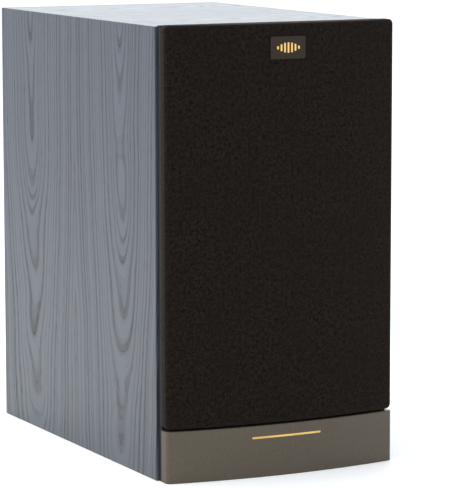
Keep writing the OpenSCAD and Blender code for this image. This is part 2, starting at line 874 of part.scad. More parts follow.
module crossover_board() {
    color("darkgreen") difference() {
        slab([board_x[0], board_y[0], board_z], [board_x[1], board_y[1], board_z + board_t]);
        at_board_corners() translate([0, 0, board_z - 1]) cylinder(h = 4, r = 1.7, $fn = 32);
    }
}

// Spacers with screws through the board
module board_standoffs() {
    top = board_z + board_t;
    color(steel) at_board_corners() {
        translate([0, 0, panel_t]) cylinder(h = board_z - panel_t, r = 3, $fn = 32);
        translate([0, 0, board_z]) cylinder(h = board_t, r = 1.5, $fn = 32);
        translate([0, 0, top]) cylinder(h = 1.8, r = 2.8, $fn = 32);
    }
}

// Air-core coils: a large one lying flat and a small one on edge
module inductors() {
    top = board_z + board_t;
    color("chocolate") {
        translate([-24, 46, top]) difference() {
            cylinder(h = 16, r = 16);
            translate([0, 0, -1]) cylinder(h = 18, r = 8);
        }
        translate([20, 100, top + 11]) rotate([90, 0, 0]) difference() {
            cylinder(h = 12, r = 11);
            translate([0, 0, -1]) cylinder(h = 14, r = 6);
        }
    }
}

// Film and electrolytic capacitors and two block resistors
module capacitors() {
    top = board_z + board_t;
    color("mediumblue") {
        for (i = [0 : 2]) translate([2, 36 + 17 * i, top + 7])
            rotate([0, 90, 0]) cylinder(h = 28, r = 7);
    }
    color("ivory") for (i = [0, 1])
        slab([-42, 65 + 11 * i, top], [-18, 74 + 11 * i, top + 9]);
}

// Wires from the posts to the board and on to both drivers
module internal_wires() {
    top = board_z + board_t + 0.2;
    tail_y = cup_floor_y - 15;
    color("crimson") for (sx = [-1, 1]) {
        wire([
            [sx * post_dx / 2, tail_y, cup_z - post_dz / 2],
            [sx * 12, tail_y - 5, 56],
            [sx * 16, tail_y - 8, 48],
            [sx * 36, tail_y - 8, 44],
            [sx * 37, tail_y - 11, 30],
            [sx * 37, tail_y - 12, top]
        ], 1);
        wire([
            [sx * 37, 34, top],
            [sx * 37, 32, 28],
            [sx * 40, 22, 44],
            [sx * 40, 2, 52],
            [sx * 22, -30, 54],
            [sx * 8, baffle_y + 45, 60],
            [sx * 6, baffle_y + terminal_s + 6, woofer_z - magnet_r - 6],
            [sx * 6, baffle_y + terminal_s + 1.9, woofer_z - magnet_r - 6]
        ], 1);
        wire([
            [sx * 42, 44, top],
            [sx * 44, 42, 40],
            [sx * 47, 26, 80],
            [sx * 46, 4, 110],
            [sx * 47, -14, 160],
            [sx * 40, -40, 200],
            [sx * 20, baffle_y + 48, 228],
            [sx * 8, baffle_y + 40, tweeter_z],
            [sx * 8, baffle_y + tweeter_plate_s + 19.5, tweeter_z],
            [sx * 8, baffle_y + tweeter_plate_s + 16.2, tweeter_z]
        ], 1);
    }
}

left_side_panel();
right_side_panel();
top_panel();
bottom_panel();
rear_panel();
front_baffle();
window_brace();
corner_blocks();
damping_wadding();
bottom_trim();
trim_accent();
trim_studs();
grille_sockets();
grille_frame();
grille_cloth();
grille_pegs();
badge_plate();
badge_emblem();
woofer_frame();
woofer_gasket_ring();
woofer_surround();
woofer_cone();
woofer_dust_cap();
woofer_former();
woofer_winding();
woofer_spider();
woofer_top_plate();
woofer_magnet();
woofer_yoke();
woofer_terminal();
woofer_leads();
woofer_screws();
tweeter_faceplate();
tweeter_dome();
tweeter_voice_coil();
tweeter_top_plate();
tweeter_magnet();
tweeter_yoke();
tweeter_screws();
port_tube();
terminal_cup();
terminal_gasket();
terminal_screws();
binding_posts();
post_nuts();
jumper_straps();
post_washer_1();
post_washer_2();
post_washer_3();
post_washer_4();
post_cap_1();
post_cap_2();
post_cap_3();
post_cap_4();
crossover_board();
board_standoffs();
inductors();
capacitors();
internal_wires();
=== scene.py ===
"""The finished look of a small two-way loudspeaker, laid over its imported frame.

Sizes in the classes are in millimetres. Meshes are in metres in the frame's own axes: +Z is up,
the grille faces -Y and the terminals face +Y.
"""

from __future__ import annotations

import json
import logging
import math
from dataclasses import dataclass
from enum import Enum
from typing import Any, Optional, Sequence

import bmesh
import bpy
import numpy as np
from mathutils import Matrix, Vector

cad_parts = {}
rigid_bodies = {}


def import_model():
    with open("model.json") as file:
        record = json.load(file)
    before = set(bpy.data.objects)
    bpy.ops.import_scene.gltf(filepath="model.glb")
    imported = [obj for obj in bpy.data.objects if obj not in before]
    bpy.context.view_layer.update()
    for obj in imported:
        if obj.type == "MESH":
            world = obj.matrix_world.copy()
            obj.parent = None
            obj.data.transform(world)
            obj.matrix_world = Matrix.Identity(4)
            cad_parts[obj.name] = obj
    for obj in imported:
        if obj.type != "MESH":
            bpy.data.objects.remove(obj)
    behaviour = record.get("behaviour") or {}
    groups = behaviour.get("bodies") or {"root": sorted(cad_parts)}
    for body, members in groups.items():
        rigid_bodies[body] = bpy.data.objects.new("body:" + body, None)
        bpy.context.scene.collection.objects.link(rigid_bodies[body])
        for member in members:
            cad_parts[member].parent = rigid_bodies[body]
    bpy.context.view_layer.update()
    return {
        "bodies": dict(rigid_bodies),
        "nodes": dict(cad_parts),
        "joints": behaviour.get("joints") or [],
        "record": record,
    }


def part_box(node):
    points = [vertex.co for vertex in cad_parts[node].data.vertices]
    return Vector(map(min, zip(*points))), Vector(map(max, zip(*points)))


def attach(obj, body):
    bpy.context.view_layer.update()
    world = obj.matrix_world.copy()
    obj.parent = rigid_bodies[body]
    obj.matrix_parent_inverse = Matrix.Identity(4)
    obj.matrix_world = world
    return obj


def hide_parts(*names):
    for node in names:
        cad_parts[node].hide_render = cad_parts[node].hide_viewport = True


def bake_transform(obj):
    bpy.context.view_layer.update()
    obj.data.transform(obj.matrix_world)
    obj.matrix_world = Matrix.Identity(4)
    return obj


LOG = logging.getLogger("loudspeaker")
MM = 0.001
SURFACE_UV = "Surface"

Colour = tuple[float, float, float]
Place = tuple[float, float, float]


# ---------------------------------------------------------------- meshes


@dataclass
class Patch:
    """A grid of points in millimetres, and how its borders meet.

    Attributes:
        points: rows by columns by 3.
        around: whether the last column joins the first.
        closed: whether the last row joins the first.
        cap_first: whether one flat face fills the ring of the first row.
        cap_last: whether one flat face fills the ring of the last row.
        uv: rows by columns by 2, in metres, or nothing.
        strip_slots: the material index of each strip between two columns, or nothing.
    """

    points: np.ndarray
    around: bool = True
    closed: bool = False
    cap_first: bool = False
    cap_last: bool = False
    uv: Optional[np.ndarray] = None
    strip_slots: Optional[np.ndarray] = None

    def quads(self) -> tuple[np.ndarray, np.ndarray]:
        """Corner numbers of the faces between neighbouring points, and the strip of each face.

        The face at row i and column j has the corners (i, j), (i, j+1), (i+1, j+1), (i+1, j),
        with i and j wrapped where the grid meets itself.
        """
        rows, cols = self.points.shape[:2]
        i = np.arange(rows if self.closed else rows - 1)[:, None]
        j = np.arange(cols if self.around else cols - 1)[None, :]
        i_next, j_next = (i + 1) % rows, (j + 1) % cols
        corners = [i * cols + j, i * cols + j_next, i_next * cols + j_next, i_next * cols + j]
        strips = np.broadcast_to(j, corners[0].shape)
        return np.stack(corners, axis=-1).reshape(-1, 4), strips.reshape(-1)

    def caps(self) -> list[list[int]]:
        """Corner numbers of the flat faces over the first and last rings."""
        rows, cols = self.points.shape[:2]
        first = [list(range(cols))[::-1]] if self.cap_first else []
        last = [[(rows - 1) * cols + j for j in range(cols)]] if self.cap_last else []
        return first + last


def link(name: str, mesh: bpy.types.Mesh) -> bpy.types.Object:
    """A new object with that mesh, in the scene."""
    made = bpy.data.objects.new(name, mesh)
    bpy.context.scene.collection.objects.link(made)
    return made


def tidy_faces(mesh: bpy.types.Mesh, sharp_deg: float) -> None:
    """Merges points that coincide, turns faces outwards and marks edges sharper than an angle."""
    work = bmesh.new()
    work.from_mesh(mesh)
    bmesh.ops.remove_doubles(work, verts=work.verts, dist=2e-7)
    bmesh.ops.recalc_face_normals(work, faces=work.faces)
    work.to_mesh(mesh)
    work.free()
    mesh.shade_smooth()
    mesh.set_sharp_from_angle(angle=math.radians(sharp_deg))


def build(name: str, patches: Sequence[Patch], sharp_deg: float = 40.0) -> bpy.types.Object:
    """Puts patches into one mesh.

    Args:
        name: the piece's name.
        patches: grids in millimetres.
        sharp_deg: edges that turn more than this stay crisp.

    Returns:
        The object, at the origin.
    """
    points, faces, slots, uvs, start = [], [], [], [], 0
    for patch in patches:
        rows, cols = patch.points.shape[:2]
        quads, strips = patch.quads()
        caps = patch.caps()
        points.append(patch.points.reshape(-1, 3))
        faces += (quads + start).tolist() + [[c + start for c in cap] for cap in caps]
        slot_of = patch.strip_slots if patch.strip_slots is not None else np.zeros(cols, int)
        slots += slot_of[strips].tolist() + [0] * len(caps)
        uvs.append(
            patch.uv.reshape(-1, 2) if patch.uv is not None else np.zeros((rows * cols, 2))
        )
        start += rows * cols
    mesh = bpy.data.meshes.new(name)
    mesh.from_pydata((np.concatenate(points) * MM).tolist(), [], faces)
    mesh.polygons.foreach_set("material_index", np.array(slots, np.int32))
    if any(patch.uv is not None for patch in patches):
        corner = np.empty(len(mesh.loops), np.int32)
        mesh.loops.foreach_get("vertex_index", corner)
        layer = mesh.uv_layers.new(name=SURFACE_UV)
        layer.data.foreach_set("uv", np.concatenate(uvs)[corner].astype(np.float32).ravel())
    tidy_faces(mesh, sharp_deg)
    return link(name, mesh)


def weighted(piece: bpy.types.Object) -> bpy.types.Object:
    """Lets large flat faces keep their own direction in the shading."""
    modifier = piece.modifiers.new("weighted", "WEIGHTED_NORMAL")
    modifier.keep_sharp = True
    return piece


def softened(
    frame: dict[str, Any], node: str, width: float, segments: int = 2
) -> bpy.types.Object:
    """A copy of a CAD node whose hard edges are rounded by width millimetres."""
    mesh = frame["nodes"][node].data.copy()
    mesh.name = node + "_finished"
    if "custom_normal" in mesh.attributes:
        mesh.attributes.remove(mesh.attributes["custom_normal"])
    work = bmesh.new()
    work.from_mesh(mesh)
    bmesh.ops.remove_doubles(work, verts=work.verts, dist=3e-6)
    bmesh.ops.dissolve_limit(
        work, angle_limit=math.radians(0.6), verts=work.verts, edges=work.edges
    )
    work.to_mesh(mesh)
    work.free()
    mesh.shade_smooth()
    made = link(mesh.name, mesh)
    bevel = made.modifiers.new("edges", "BEVEL")
    bevel.width = width * MM
    bevel.segments = segments
    bevel.limit_method = "ANGLE"
    bevel.angle_limit = math.radians(32)
    bevel.use_clamp_overlap = True
    return weighted(made)


def box_mm(node: str) -> tuple[np.ndarray, np.ndarray]:
    """Lowest and highest corner of a CAD node in millimetres."""
    low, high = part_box(node)
    return np.array(low) / MM, np.array(high) / MM


def turned(
    profile: np.ndarray, centre: Sequence[float], steps: int = 128, closed: bool = True
) -> Patch:
    """Carries an outline round an axis that lies along Y.

    The point (r, y) of the outline at angle a goes to (x0 + r cos a, y, z0 + r sin a).

    Args:
        profile: n by 2 points, radius and Y, in millimetres.
        centre: x and z of the axis.
        steps: points round the circle.
        closed: whether the outline's last point joins its first.

    Returns:
        A patch with one row for each point of the outline.
    """
    angle = np.arange(steps) * 2 * np.pi / steps
    radius, y = profile[:, 0][:, None], profile[:, 1][:, None]
    points = np.stack(
        [
            centre[0] + radius * np.cos(angle),
            np.broadcast_to(y, (len(profile), steps)),
            centre[1] + radius * np.sin(angle),
        ],
        axis=-1,
    )
    return Patch(points, closed=closed)


def both_sides(front: np.ndarray, wall: float) -> np.ndarray:
    """A closed outline of a thin wall: the front line, then the same line moved back by wall."""
    back = front[::-1] + np.array([0.0, wall])
    return np.concatenate([front, back])


def rounded_outline(half_w: float, half_h: float, radius: float, steps: int = 6) -> np.ndarray:
    """Points round a rectangle with round corners, anticlockwise, each corner an arc of steps."""
    radius = min(radius, half_w, half_h)
    angle = np.linspace(0, np.pi / 2, steps + 1)
    arcs = []
    for quarter, (sx, sz) in enumerate([(1, 1), (-1, 1), (-1, -1), (1, -1)]):
        turn = angle + quarter * np.pi / 2
        cx, cz = sx * (half_w - radius), sz * (half_h - radius)
        arcs.append(np.stack([cx + radius * np.cos(turn), cz + radius * np.sin(turn)], axis=-1))
    return np.concatenate(arcs)


def rounded_block(
    centre: Place, half: Place, corner: float, edge: float, steps: int = 6
) -> Patch:
    """A plate along Y with round corners and rounded front and back edges.

    Ring k is the outline drawn in by edge (1 - sin t) at a distance edge (1 - cos t) from the
    plate's face, for t from 0 to a quarter turn, once for each face.

    Args:
        centre: middle of the plate.
        half: half its width, depth and height.
        corner: radius of its corners as seen from the front.
        edge: radius of its front and back edges.
        steps: points on each corner's arc.

    Returns:
        A closed patch.
    """
    t = np.linspace(0, np.pi / 2, 4)
    inset = edge * (1 - np.sin(t))
    away = edge * (1 - np.cos(t))
    insets = np.concatenate([inset, inset[::-1]])
    depths = np.concatenate([-half[1] + away, half[1] - away[::-1]])
    rings = [
        rounded_outline(half[0] - d, half[2] - d, max(corner - d, 0.02), steps) for d in insets
    ]
    flat = np.stack(rings)
    y = np.broadcast_to(depths[:, None], flat.shape[:2])
    points = np.stack([flat[..., 0], y, flat[..., 1]], axis=-1) + np.array(centre)
    return Patch(points, cap_first=True, cap_last=True)


def settle(
    piece: bpy.types.Object,
    body: str,
    nodes: Sequence[str] = (),
    finishes: Sequence["Finish"] = (),
) -> bpy.types.Object:
    """Dresses a piece, sets it on its body and hides the CAD nodes it stands for."""
    if finishes:
        piece.data.materials.clear()
        for finish in finishes:
            piece.data.materials.append(finish.material())
    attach(piece, body)
    if nodes:
        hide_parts(*nodes)
    LOG.info("%s rides on %s", piece.name, body)
    return piece


def dress(frame: dict[str, Any], finish: "Finish", *nodes: str) -> None:
    """Gives CAD nodes that stay their finish."""
    for node in nodes:
        shape = frame["nodes"][node]
        for slot in shape.material_slots:
            slot.material = finish.material()
        LOG.info("%s keeps its shape, finished as %s", node, finish.name)


# ---------------------------------------------------------------- shader nodes


class Graph:
    """Adds nodes to one tree and joins them."""

    def __init__(self, tree: bpy.types.NodeTree) -> None:
        """Works on the tree."""
        self.tree = tree

    def feed(self, socket: bpy.types.NodeSocket, value: Any) -> None:
        """Joins another node's socket, or sets a plain value."""
        if isinstance(value, bpy.types.NodeSocket):
            self.tree.links.new(value, socket)
        elif socket.type == "RGBA" and len(value) == 3:
            socket.default_value = (*value, 1.0)
        else:
            socket.default_value = value

    def add(
        self, kind: str, inputs: Optional[dict[Any, Any]] = None, **settings: Any
    ) -> bpy.types.Node:
        """A node of that kind with its settings and inputs."""
        node = self.tree.nodes.new("ShaderNode" + kind)
        for name, value in settings.items():
            setattr(node, name, value)
        for name, value in (inputs or {}).items():
            self.feed(node.inputs[name], value)
        return node

    def math(
        self, operation: str, a: Any, b: Any = 0.0, c: Any = 0.0, clamp: bool = False
    ) -> bpy.types.NodeSocket:
        """One step of arithmetic."""
        node = self.add("Math", {0: a, 1: b, 2: c}, operation=operation, use_clamp=clamp)
        return node.outputs[0]

    def remap(
        self, value: Any, low: float, high: float, to_low: float = 0.0, to_high: float = 1.0
    ) -> bpy.types.NodeSocket:
        """A value smoothly stretched from one range to another."""
        node = self.add(
            "MapRange",
            {"Value": value, 1: low, 2: high, 3: to_low, 4: to_high},
            interpolation_type="SMOOTHSTEP",
        )
        return node.outputs[0]

    def mix(self, share: Any, a: Any, b: Any) -> bpy.types.NodeSocket:
        """Colour a where share is 0 and colour b where it is 1."""
        node = self.add("Mix", data_type="RGBA")
        self.feed(node.inputs[0], share)
        self.feed(node.inputs[6], a)
        self.feed(node.inputs[7], b)
        return node.outputs[2]

    def split(self, vector: bpy.types.NodeSocket) -> tuple[Any, Any, Any]:
        """The three parts of a vector."""
        node = self.add("SeparateXYZ", {0: vector})
        return node.outputs[0], node.outputs[1], node.outputs[2]

    def join(self, x: Any = 0.0, y: Any = 0.0, z: Any = 0.0) -> bpy.types.NodeSocket:
        """A vector from its three parts."""
        return self.add("CombineXYZ", {0: x, 1: y, 2: z}).outputs[0]

    def stretch(self, vector: Any, scale: Place, place: Place = (0, 0, 0)) -> Any:
        """A vector scaled along each axis, then moved."""
        node = self.add("Mapping", {"Vector": vector, "Scale": scale, "Location": place})
        return node.outputs[0]

    def noise(
        self, vector: Any, scale: float = 1.0, detail: float = 2.0, rough: float = 0.5
    ) -> bpy.types.NodeSocket:
        """Cloudy noise, about 0.3 to 0.7."""
        inputs = {"Vector": vector, "Scale": scale, "Detail": detail, "Roughness": rough}
        return self.add("TexNoise", inputs).outputs[0]

    def object_place(self) -> bpy.types.NodeSocket:
        """Place on the piece, in metres."""
        return self.add("TexCoord").outputs["Object"]

    def surface_place(self) -> bpy.types.NodeSocket:
        """Place on the piece's own map, in metres."""
        return self.add("UVMap", uv_map=SURFACE_UV).outputs[0]

    def bump(self, height: Any, depth: float, strength: float = 1.0) -> bpy.types.NodeSocket:
        """Surface direction for a height from 0 to 1 that stands for a depth in metres."""
        node = self.add("Bump", {"Height": height, "Distance": depth, "Strength": strength})
        return node.outputs[0]

    def group(self, tree: bpy.types.NodeTree, inputs: dict[str, Any]) -> bpy.types.Node:
        """A shared effect placed in this tree with its own values."""
        node = self.tree.nodes.new("ShaderNodeGroup")
        node.node_tree = tree
        for name, value in inputs.items():
            self.feed(node.inputs[name], value)
        return node


class Effect(Enum):
    """Effects that several finishes share, each a node group built once."""

    ASH = "ash figure"
    MARKS = "handling marks"
    MOULD = "moulded grain"
    KNIT = "knitted loops"
    WEAVE = "plain weave"
    WOUND = "wound wire"

    def tree(self) -> bpy.types.NodeTree:
        """The effect's group, made when it is first asked for."""
        found = bpy.data.node_groups.get(self.value)
        if found:
            return found
        tree = bpy.data.node_groups.new(self.value, "ShaderNodeTree")
        sockets = tree.interface
        sockets.new_socket(name="Vector", in_out="INPUT", socket_type="NodeSocketVector")
        for name, value in EFFECT_INPUTS[self].items():
            made = sockets.new_socket(name=name, in_out="INPUT", socket_type="NodeSocketFloat")
            made.default_value = value
        for name in EFFECT_OUTPUTS[self]:
            sockets.new_socket(name=name, in_out="OUTPUT", socket_type="NodeSocketFloat")
        graph = Graph(tree)
        entry = tree.nodes.new("NodeGroupInput")
        leave = tree.nodes.new("NodeGroupOutput")
        values = EFFECT_BUILDERS[self](graph, {s.name: s for s in entry.outputs if s.name})
        for name, value in values.items():
            graph.feed(leave.inputs[name], value)
        return tree


# The figure's lengths are in metres, and its scales are in cycles for each metre.
ASH_DRIFT, ASH_SHIVER = 0.010, 0.0016
ASH_LEVEL, ASH_LOWEST = 0.03, -0.012
ASH_ARCH = 0.3
RING_SCALE, WANDER_SCALE, STRENGTH_SCALE = 270.0, 70.0, 150.0
WANDER = 4.0
PORE_SCALES = (120.0, 2100.0, 30.0)


def build_ash(graph: Graph, given: dict[str, Any]) -> dict[str, Any]:
    """Ash figure on a map whose first axis follows the grain.

    Growth rings are shells round upright columns, one column every Spacing metres. A point at
    distance w from its column and height h along the column's taper lies on the ring of radius
    sqrt(w^2 + h^2), so rings cut the surface in tall pointed arches near a column and in straight
    lines between columns. A groove runs where 270 radius + a wandering noise is a whole number.
    """
    along, across, _ = graph.split(given["Vector"])

    def field(lengthways: float, crossways: float, seed: float, detail: float) -> Any:
        """Noise that is stretched by its own scale along each axis of the map."""
        u = graph.math("MULTIPLY", along, lengthways)
        v = graph.math("MULTIPLY", across, crossways)
        return graph.noise(graph.join(u, v, seed), 1.0, detail)

    def along_ring(scale: float, detail: float) -> Any:
        """Noise that changes only from ring to ring."""
        values = {"W": graph.math("MULTIPLY", ring, scale), "Scale": 1.0, "Detail": detail}
        return graph.add("TexNoise", values, noise_dimensions="1D").outputs[0]

    drift = graph.math("MULTIPLY_ADD", field(4.0, 16.0, 3.1, 2.0), ASH_DRIFT, -ASH_DRIFT / 2)
    shiver = graph.math("MULTIPLY_ADD", field(22.0, 90.0, 7.7, 2.0), ASH_SHIVER, -ASH_SHIVER / 2)
    aside = graph.math("ADD", shiver, given["Offset"])
    moved = graph.math("ADD", graph.math("ADD", across, drift), aside)
    w = graph.math("PINGPONG", moved, graph.math("MULTIPLY", given["Spacing"], 0.5))
    rise = graph.math("PINGPONG", graph.math("ADD", along, ASH_ARCH), ASH_ARCH)
    level = graph.math("MULTIPLY_ADD", field(7.0, 9.0, 1.3, 2.0), ASH_LEVEL, ASH_LOWEST)
    h = graph.math("ADD", graph.math("MULTIPLY", rise, given["Taper"]), level)
    squares = graph.math("MULTIPLY", w, w), graph.math("MULTIPLY", h, h)
    ring = graph.math("SQRT", graph.math("ADD", *squares))
    wander = graph.math("MULTIPLY", along_ring(WANDER_SCALE, 2.0), WANDER)
    phase = graph.math("ADD", graph.math("MULTIPLY", ring, RING_SCALE), wander)
    ridge = graph.math("MULTIPLY", graph.math("PINGPONG", phase, 0.5), 2.0)
    strength = graph.remap(along_ring(STRENGTH_SCALE, 1.0), 0.3, 0.6, 0.4, 1.0)
    groove = graph.math("MULTIPLY", graph.remap(ridge, 0.75, 0.05), strength)
    lines = graph.math("SUBTRACT", 1.0, groove)
    scaled = (graph.math("MULTIPLY", *pair) for pair in zip((along, ring, across), PORE_SCALES))
    pore = graph.remap(graph.noise(graph.join(*scaled), 1.0, 1.0), 0.5, 0.66)
    pores = graph.math("MULTIPLY", pore, graph.math("MULTIPLY_ADD", lines, -0.8, 1.0))
    return {"Lines": lines, "Pores": pores, "Shade": field(3.0, 28.0, 5.0, 3.0)}


def build_marks(graph: Graph, given: dict[str, Any]) -> dict[str, Any]:
    """Soft smudges, and fine dust that gathers in patches; both are layers of noise."""
    inputs = {0: given["Vector"], "Scale": given["Scale"]}
    place = graph.add("VectorMath", inputs, operation="SCALE").outputs[0]
    smudge = graph.remap(graph.noise(place, 1.0, 4.0, 0.6), 0.35, 0.65)
    fine = graph.noise(place, 60.0, 2.0, 0.7)
    dust = graph.math("MULTIPLY", graph.remap(fine, 0.55, 0.75), smudge)
    return {"Smudge": smudge, "Dust": dust}


def build_mould(graph: Graph, given: dict[str, Any]) -> dict[str, Any]:
    """Spark-eroded grain: small rounded cells, Grain metres across, with fine noise."""
    inverse = graph.math("DIVIDE", 1.0, given["Grain"])
    inputs = {"Vector": given["Vector"], "Scale": inverse, "Randomness": 1.0}
    cells = graph.add("TexVoronoi", inputs, feature="SMOOTH_F1").outputs[0]
    fine = graph.noise(given["Vector"], graph.math("MULTIPLY", inverse, 2.0), 2.0)
    height = graph.math("MULTIPLY_ADD", cells, 0.7, graph.math("MULTIPLY", fine, 0.3))
    return {"Height": height}


def build_knit(graph: Graph, given: dict[str, Any]) -> dict[str, Any]:
    """Knitted loops in wales Pitch metres apart, with every second wale half a step on.

    A loop's height is |sin(pi x)| times 0.6 + 0.4 |sin(pi (y + half a step))|, and a pore opens
    where four loops meet.
    """
    x, y, _ = graph.split(given["Vector"])
    inverse = graph.math("DIVIDE", 1.0, given["Pitch"])
    wale = graph.math("MULTIPLY", x, inverse)
    course = graph.math("MULTIPLY", graph.math("MULTIPLY", y, inverse), 1.25)
    odd = graph.math("MULTIPLY", graph.math("FLOOR", wale), 0.5)
    rib = graph.math("ABSOLUTE", graph.math("SINE", graph.math("MULTIPLY", wale, math.pi)))
    step = graph.math("MULTIPLY", graph.math("ADD", course, odd), math.pi)
    loop = graph.math("ABSOLUTE", graph.math("SINE", step))
    height = graph.math("MULTIPLY", rib, graph.math("MULTIPLY_ADD", loop, 0.4, 0.6))
    pore = graph.remap(height, 0.05, 0.45, 1.0, 0.0)
    loop_number = graph.math("FLOOR", graph.math("ADD", course, odd))
    cell = graph.join(graph.math("FLOOR", wale), loop_number, 0.0)
    tone = graph.add("TexWhiteNoise", {"Vector": cell}, noise_dimensions="2D").outputs[0]
    return {"Height": height, "Pore": pore, "Tone": tone}


def build_weave(graph: Graph, given: dict[str, Any]) -> dict[str, Any]:
    """Plain weave on two axes: |sin| ribs that change direction on a chequerboard."""
    x, y, _ = graph.split(given["Vector"])
    inverse = graph.math("DIVIDE", 1.0, given["Pitch"])
    a, b = graph.math("MULTIPLY", x, inverse), graph.math("MULTIPLY", y, inverse)
    rib_a = graph.math("ABSOLUTE", graph.math("SINE", graph.math("MULTIPLY", a, math.pi)))
    rib_b = graph.math("ABSOLUTE", graph.math("SINE", graph.math("MULTIPLY", b, math.pi)))
    square = graph.math("ADD", graph.math("FLOOR", a), graph.math("FLOOR", b))
    parity = graph.math("FLOORED_MODULO", square, 2.0)
    over = graph.math("MULTIPLY", rib_a, parity)
    under = graph.math("MULTIPLY", rib_b, graph.math("SUBTRACT", 1.0, parity))
    return {"Height": graph.math("ADD", over, under), "Over": parity}


def build_wound(graph: Graph, given: dict[str, Any]) -> dict[str, Any]:
    """Turns of wire side by side along the map's first axis: the height is |sin(pi x / pitch)|."""
    x, _, _ = graph.split(given["Vector"])
    turn = graph.math("MULTIPLY", graph.math("DIVIDE", x, given["Pitch"]), math.pi)
    return {"Height": graph.math("ABSOLUTE", graph.math("SINE", turn))}


EFFECT_INPUTS = {
    Effect.ASH: {"Spacing": 0.149, "Offset": 0.0, "Taper": 0.13},
    Effect.MARKS: {"Scale": 20.0},
    Effect.MOULD: {"Grain": 0.0006},
    Effect.KNIT: {"Pitch": 0.0009},
    Effect.WEAVE: {"Pitch": 0.0015},
    Effect.WOUND: {"Pitch": 0.0008},
}
EFFECT_OUTPUTS = {
    Effect.ASH: ("Lines", "Pores", "Shade"),
    Effect.MARKS: ("Smudge", "Dust"),
    Effect.MOULD: ("Height",),
    Effect.KNIT: ("Height", "Pore", "Tone"),
    Effect.WEAVE: ("Height", "Over"),
    Effect.WOUND: ("Height",),
}
EFFECT_BUILDERS = {
    Effect.ASH: build_ash,
    Effect.MARKS: build_marks,
    Effect.MOULD: build_mould,
    Effect.KNIT: build_knit,
    Effect.WEAVE: build_weave,
    Effect.WOUND: build_wound,
}


# ---------------------------------------------------------------- finishes


class Axis(Enum):
    """Which part of a piece's own place a pattern runs along."""

    X = 0
    Y = 1
    Z = 2
    MAP = 3


@dataclass(frozen=True)
class Finish:
    """A finish with a colour and a gloss; each kind paints its own pattern.

    Attributes:
        name: the material's name.
        colour: main colour, linear.
        roughness: 0 is a mirror and 1 is dull.
    """

    name: str
    colour: Colour
    roughness: float = 0.5

    def material(self) -> bpy.types.Material:
        """The finish's material, made when it is first asked for."""
        found = bpy.data.materials.get(self.name)
        if found:
            return found
        material = bpy.data.materials.new(self.name)
        material.use_nodes = True
        material.node_tree.nodes.clear()
        graph = Graph(material.node_tree)
        coat = graph.add("BsdfPrincipled", {"Base Color": self.colour, "Roughness": self.roughness})
        leave = graph.add("OutputMaterial")
        graph.tree.links.new(coat.outputs[0], leave.inputs["Surface"])
        self.paint(graph, coat)
        return material

    def paint(self, graph: Graph, coat: bpy.types.Node) -> None:
        """Joins the finish's pattern to its shader."""
        raise NotImplementedError

    def uneven(self, graph: Graph, coat: bpy.types.Node, scale: float, spread: float) -> Any:
        """Varies the gloss with soft smudges, and returns the marks' node."""
        marks = graph.group(Effect.MARKS.tree(), {"Vector": graph.object_place(), "Scale": scale})
        low, high = max(self.roughness - spread, 0.03), min(self.roughness + spread, 1.0)
        rough = graph.remap(marks.outputs["Smudge"], 0.0, 1.0, low, high)
        graph.feed(coat.inputs["Roughness"], rough)
        return marks

    def shade(self, factor: float) -> Colour:
        """The main colour made lighter or darker."""
        return tuple(min(c * factor, 1.0) for c in self.colour)


@dataclass(frozen=True)
class AshWrap(Finish):
    """Black-ash vinyl: dark grain printed and pressed into a satin film.

    Attributes:
        follows: the axis that the grain follows, or the piece's own map.
        dark: colour of the grain's lines, linear.
    """

    follows: Axis = Axis.MAP
    dark: Colour = (0.012, 0.014, 0.018)

    def paint(self, graph: Graph, coat: bpy.types.Node) -> None:
        """Prints the figure in the colour, and presses lines and pores into the film."""
        if self.follows is Axis.MAP:
            place = graph.surface_place()
        else:
            x, y, z = graph.split(graph.object_place())
            place = graph.join(z, x, y)
        figure = graph.group(Effect.ASH.tree(), {"Vector": place, "Offset": 0.064})
        lines, pores, shade = (figure.outputs[n] for n in ("Lines", "Pores", "Shade"))
        printed = graph.mix(graph.remap(lines, 0.0, 1.0), self.dark, self.colour)
        toned = graph.mix(graph.remap(shade, 0.3, 0.7, 0.0, 0.35), printed, self.shade(1.3))
        final = graph.mix(graph.math("MULTIPLY", pores, 0.6), toned, self.dark)
        graph.feed(coat.inputs["Base Color"], final)
        rough = graph.math("MULTIPLY_ADD", lines, -0.08, self.roughness + 0.05)
        graph.feed(coat.inputs["Roughness"], graph.math("MULTIPLY_ADD", pores, 0.15, rough))
        height = graph.math("SUBTRACT", graph.math("MULTIPLY", lines, 0.5), pores)
        graph.feed(coat.inputs["Normal"], graph.bump(height, 0.00006, 0.5))


@dataclass(frozen=True)
class Moulded(Finish):
    """Moulded plastic with a spark-eroded grain.

    Attributes:
        grain: size of the grain's cells in millimetres.
        relief: depth of the grain in millimetres.
        gloss: weight of a clear coat.
        shine: strength of the plastic's own reflection.
    """

    grain: float = 0.6
    relief: float = 0.02
    gloss: float = 0.0
    shine: float = 0.5

    def paint(self, graph: Graph, coat: bpy.types.Node) -> None:
        """Presses the grain in, and lets handling vary the gloss and the tone."""
        marks = self.uneven(graph, coat, 30.0, 0.07)
        place = graph.object_place()
        mould = graph.group(Effect.MOULD.tree(), {"Vector": place, "Grain": self.grain * MM})
        tone = graph.mix(marks.outputs["Dust"], self.colour, self.shade(1.8))
        graph.feed(coat.inputs["Base Color"], tone)
        grain = graph.bump(mould.outputs["Height"], self.relief * MM, 0.7)
        graph.feed(coat.inputs["Normal"], grain)
        coat.inputs["Coat Weight"].default_value = self.gloss
        coat.inputs["Coat Roughness"].default_value = 0.08
        coat.inputs["Specular IOR Level"].default_value = self.shine


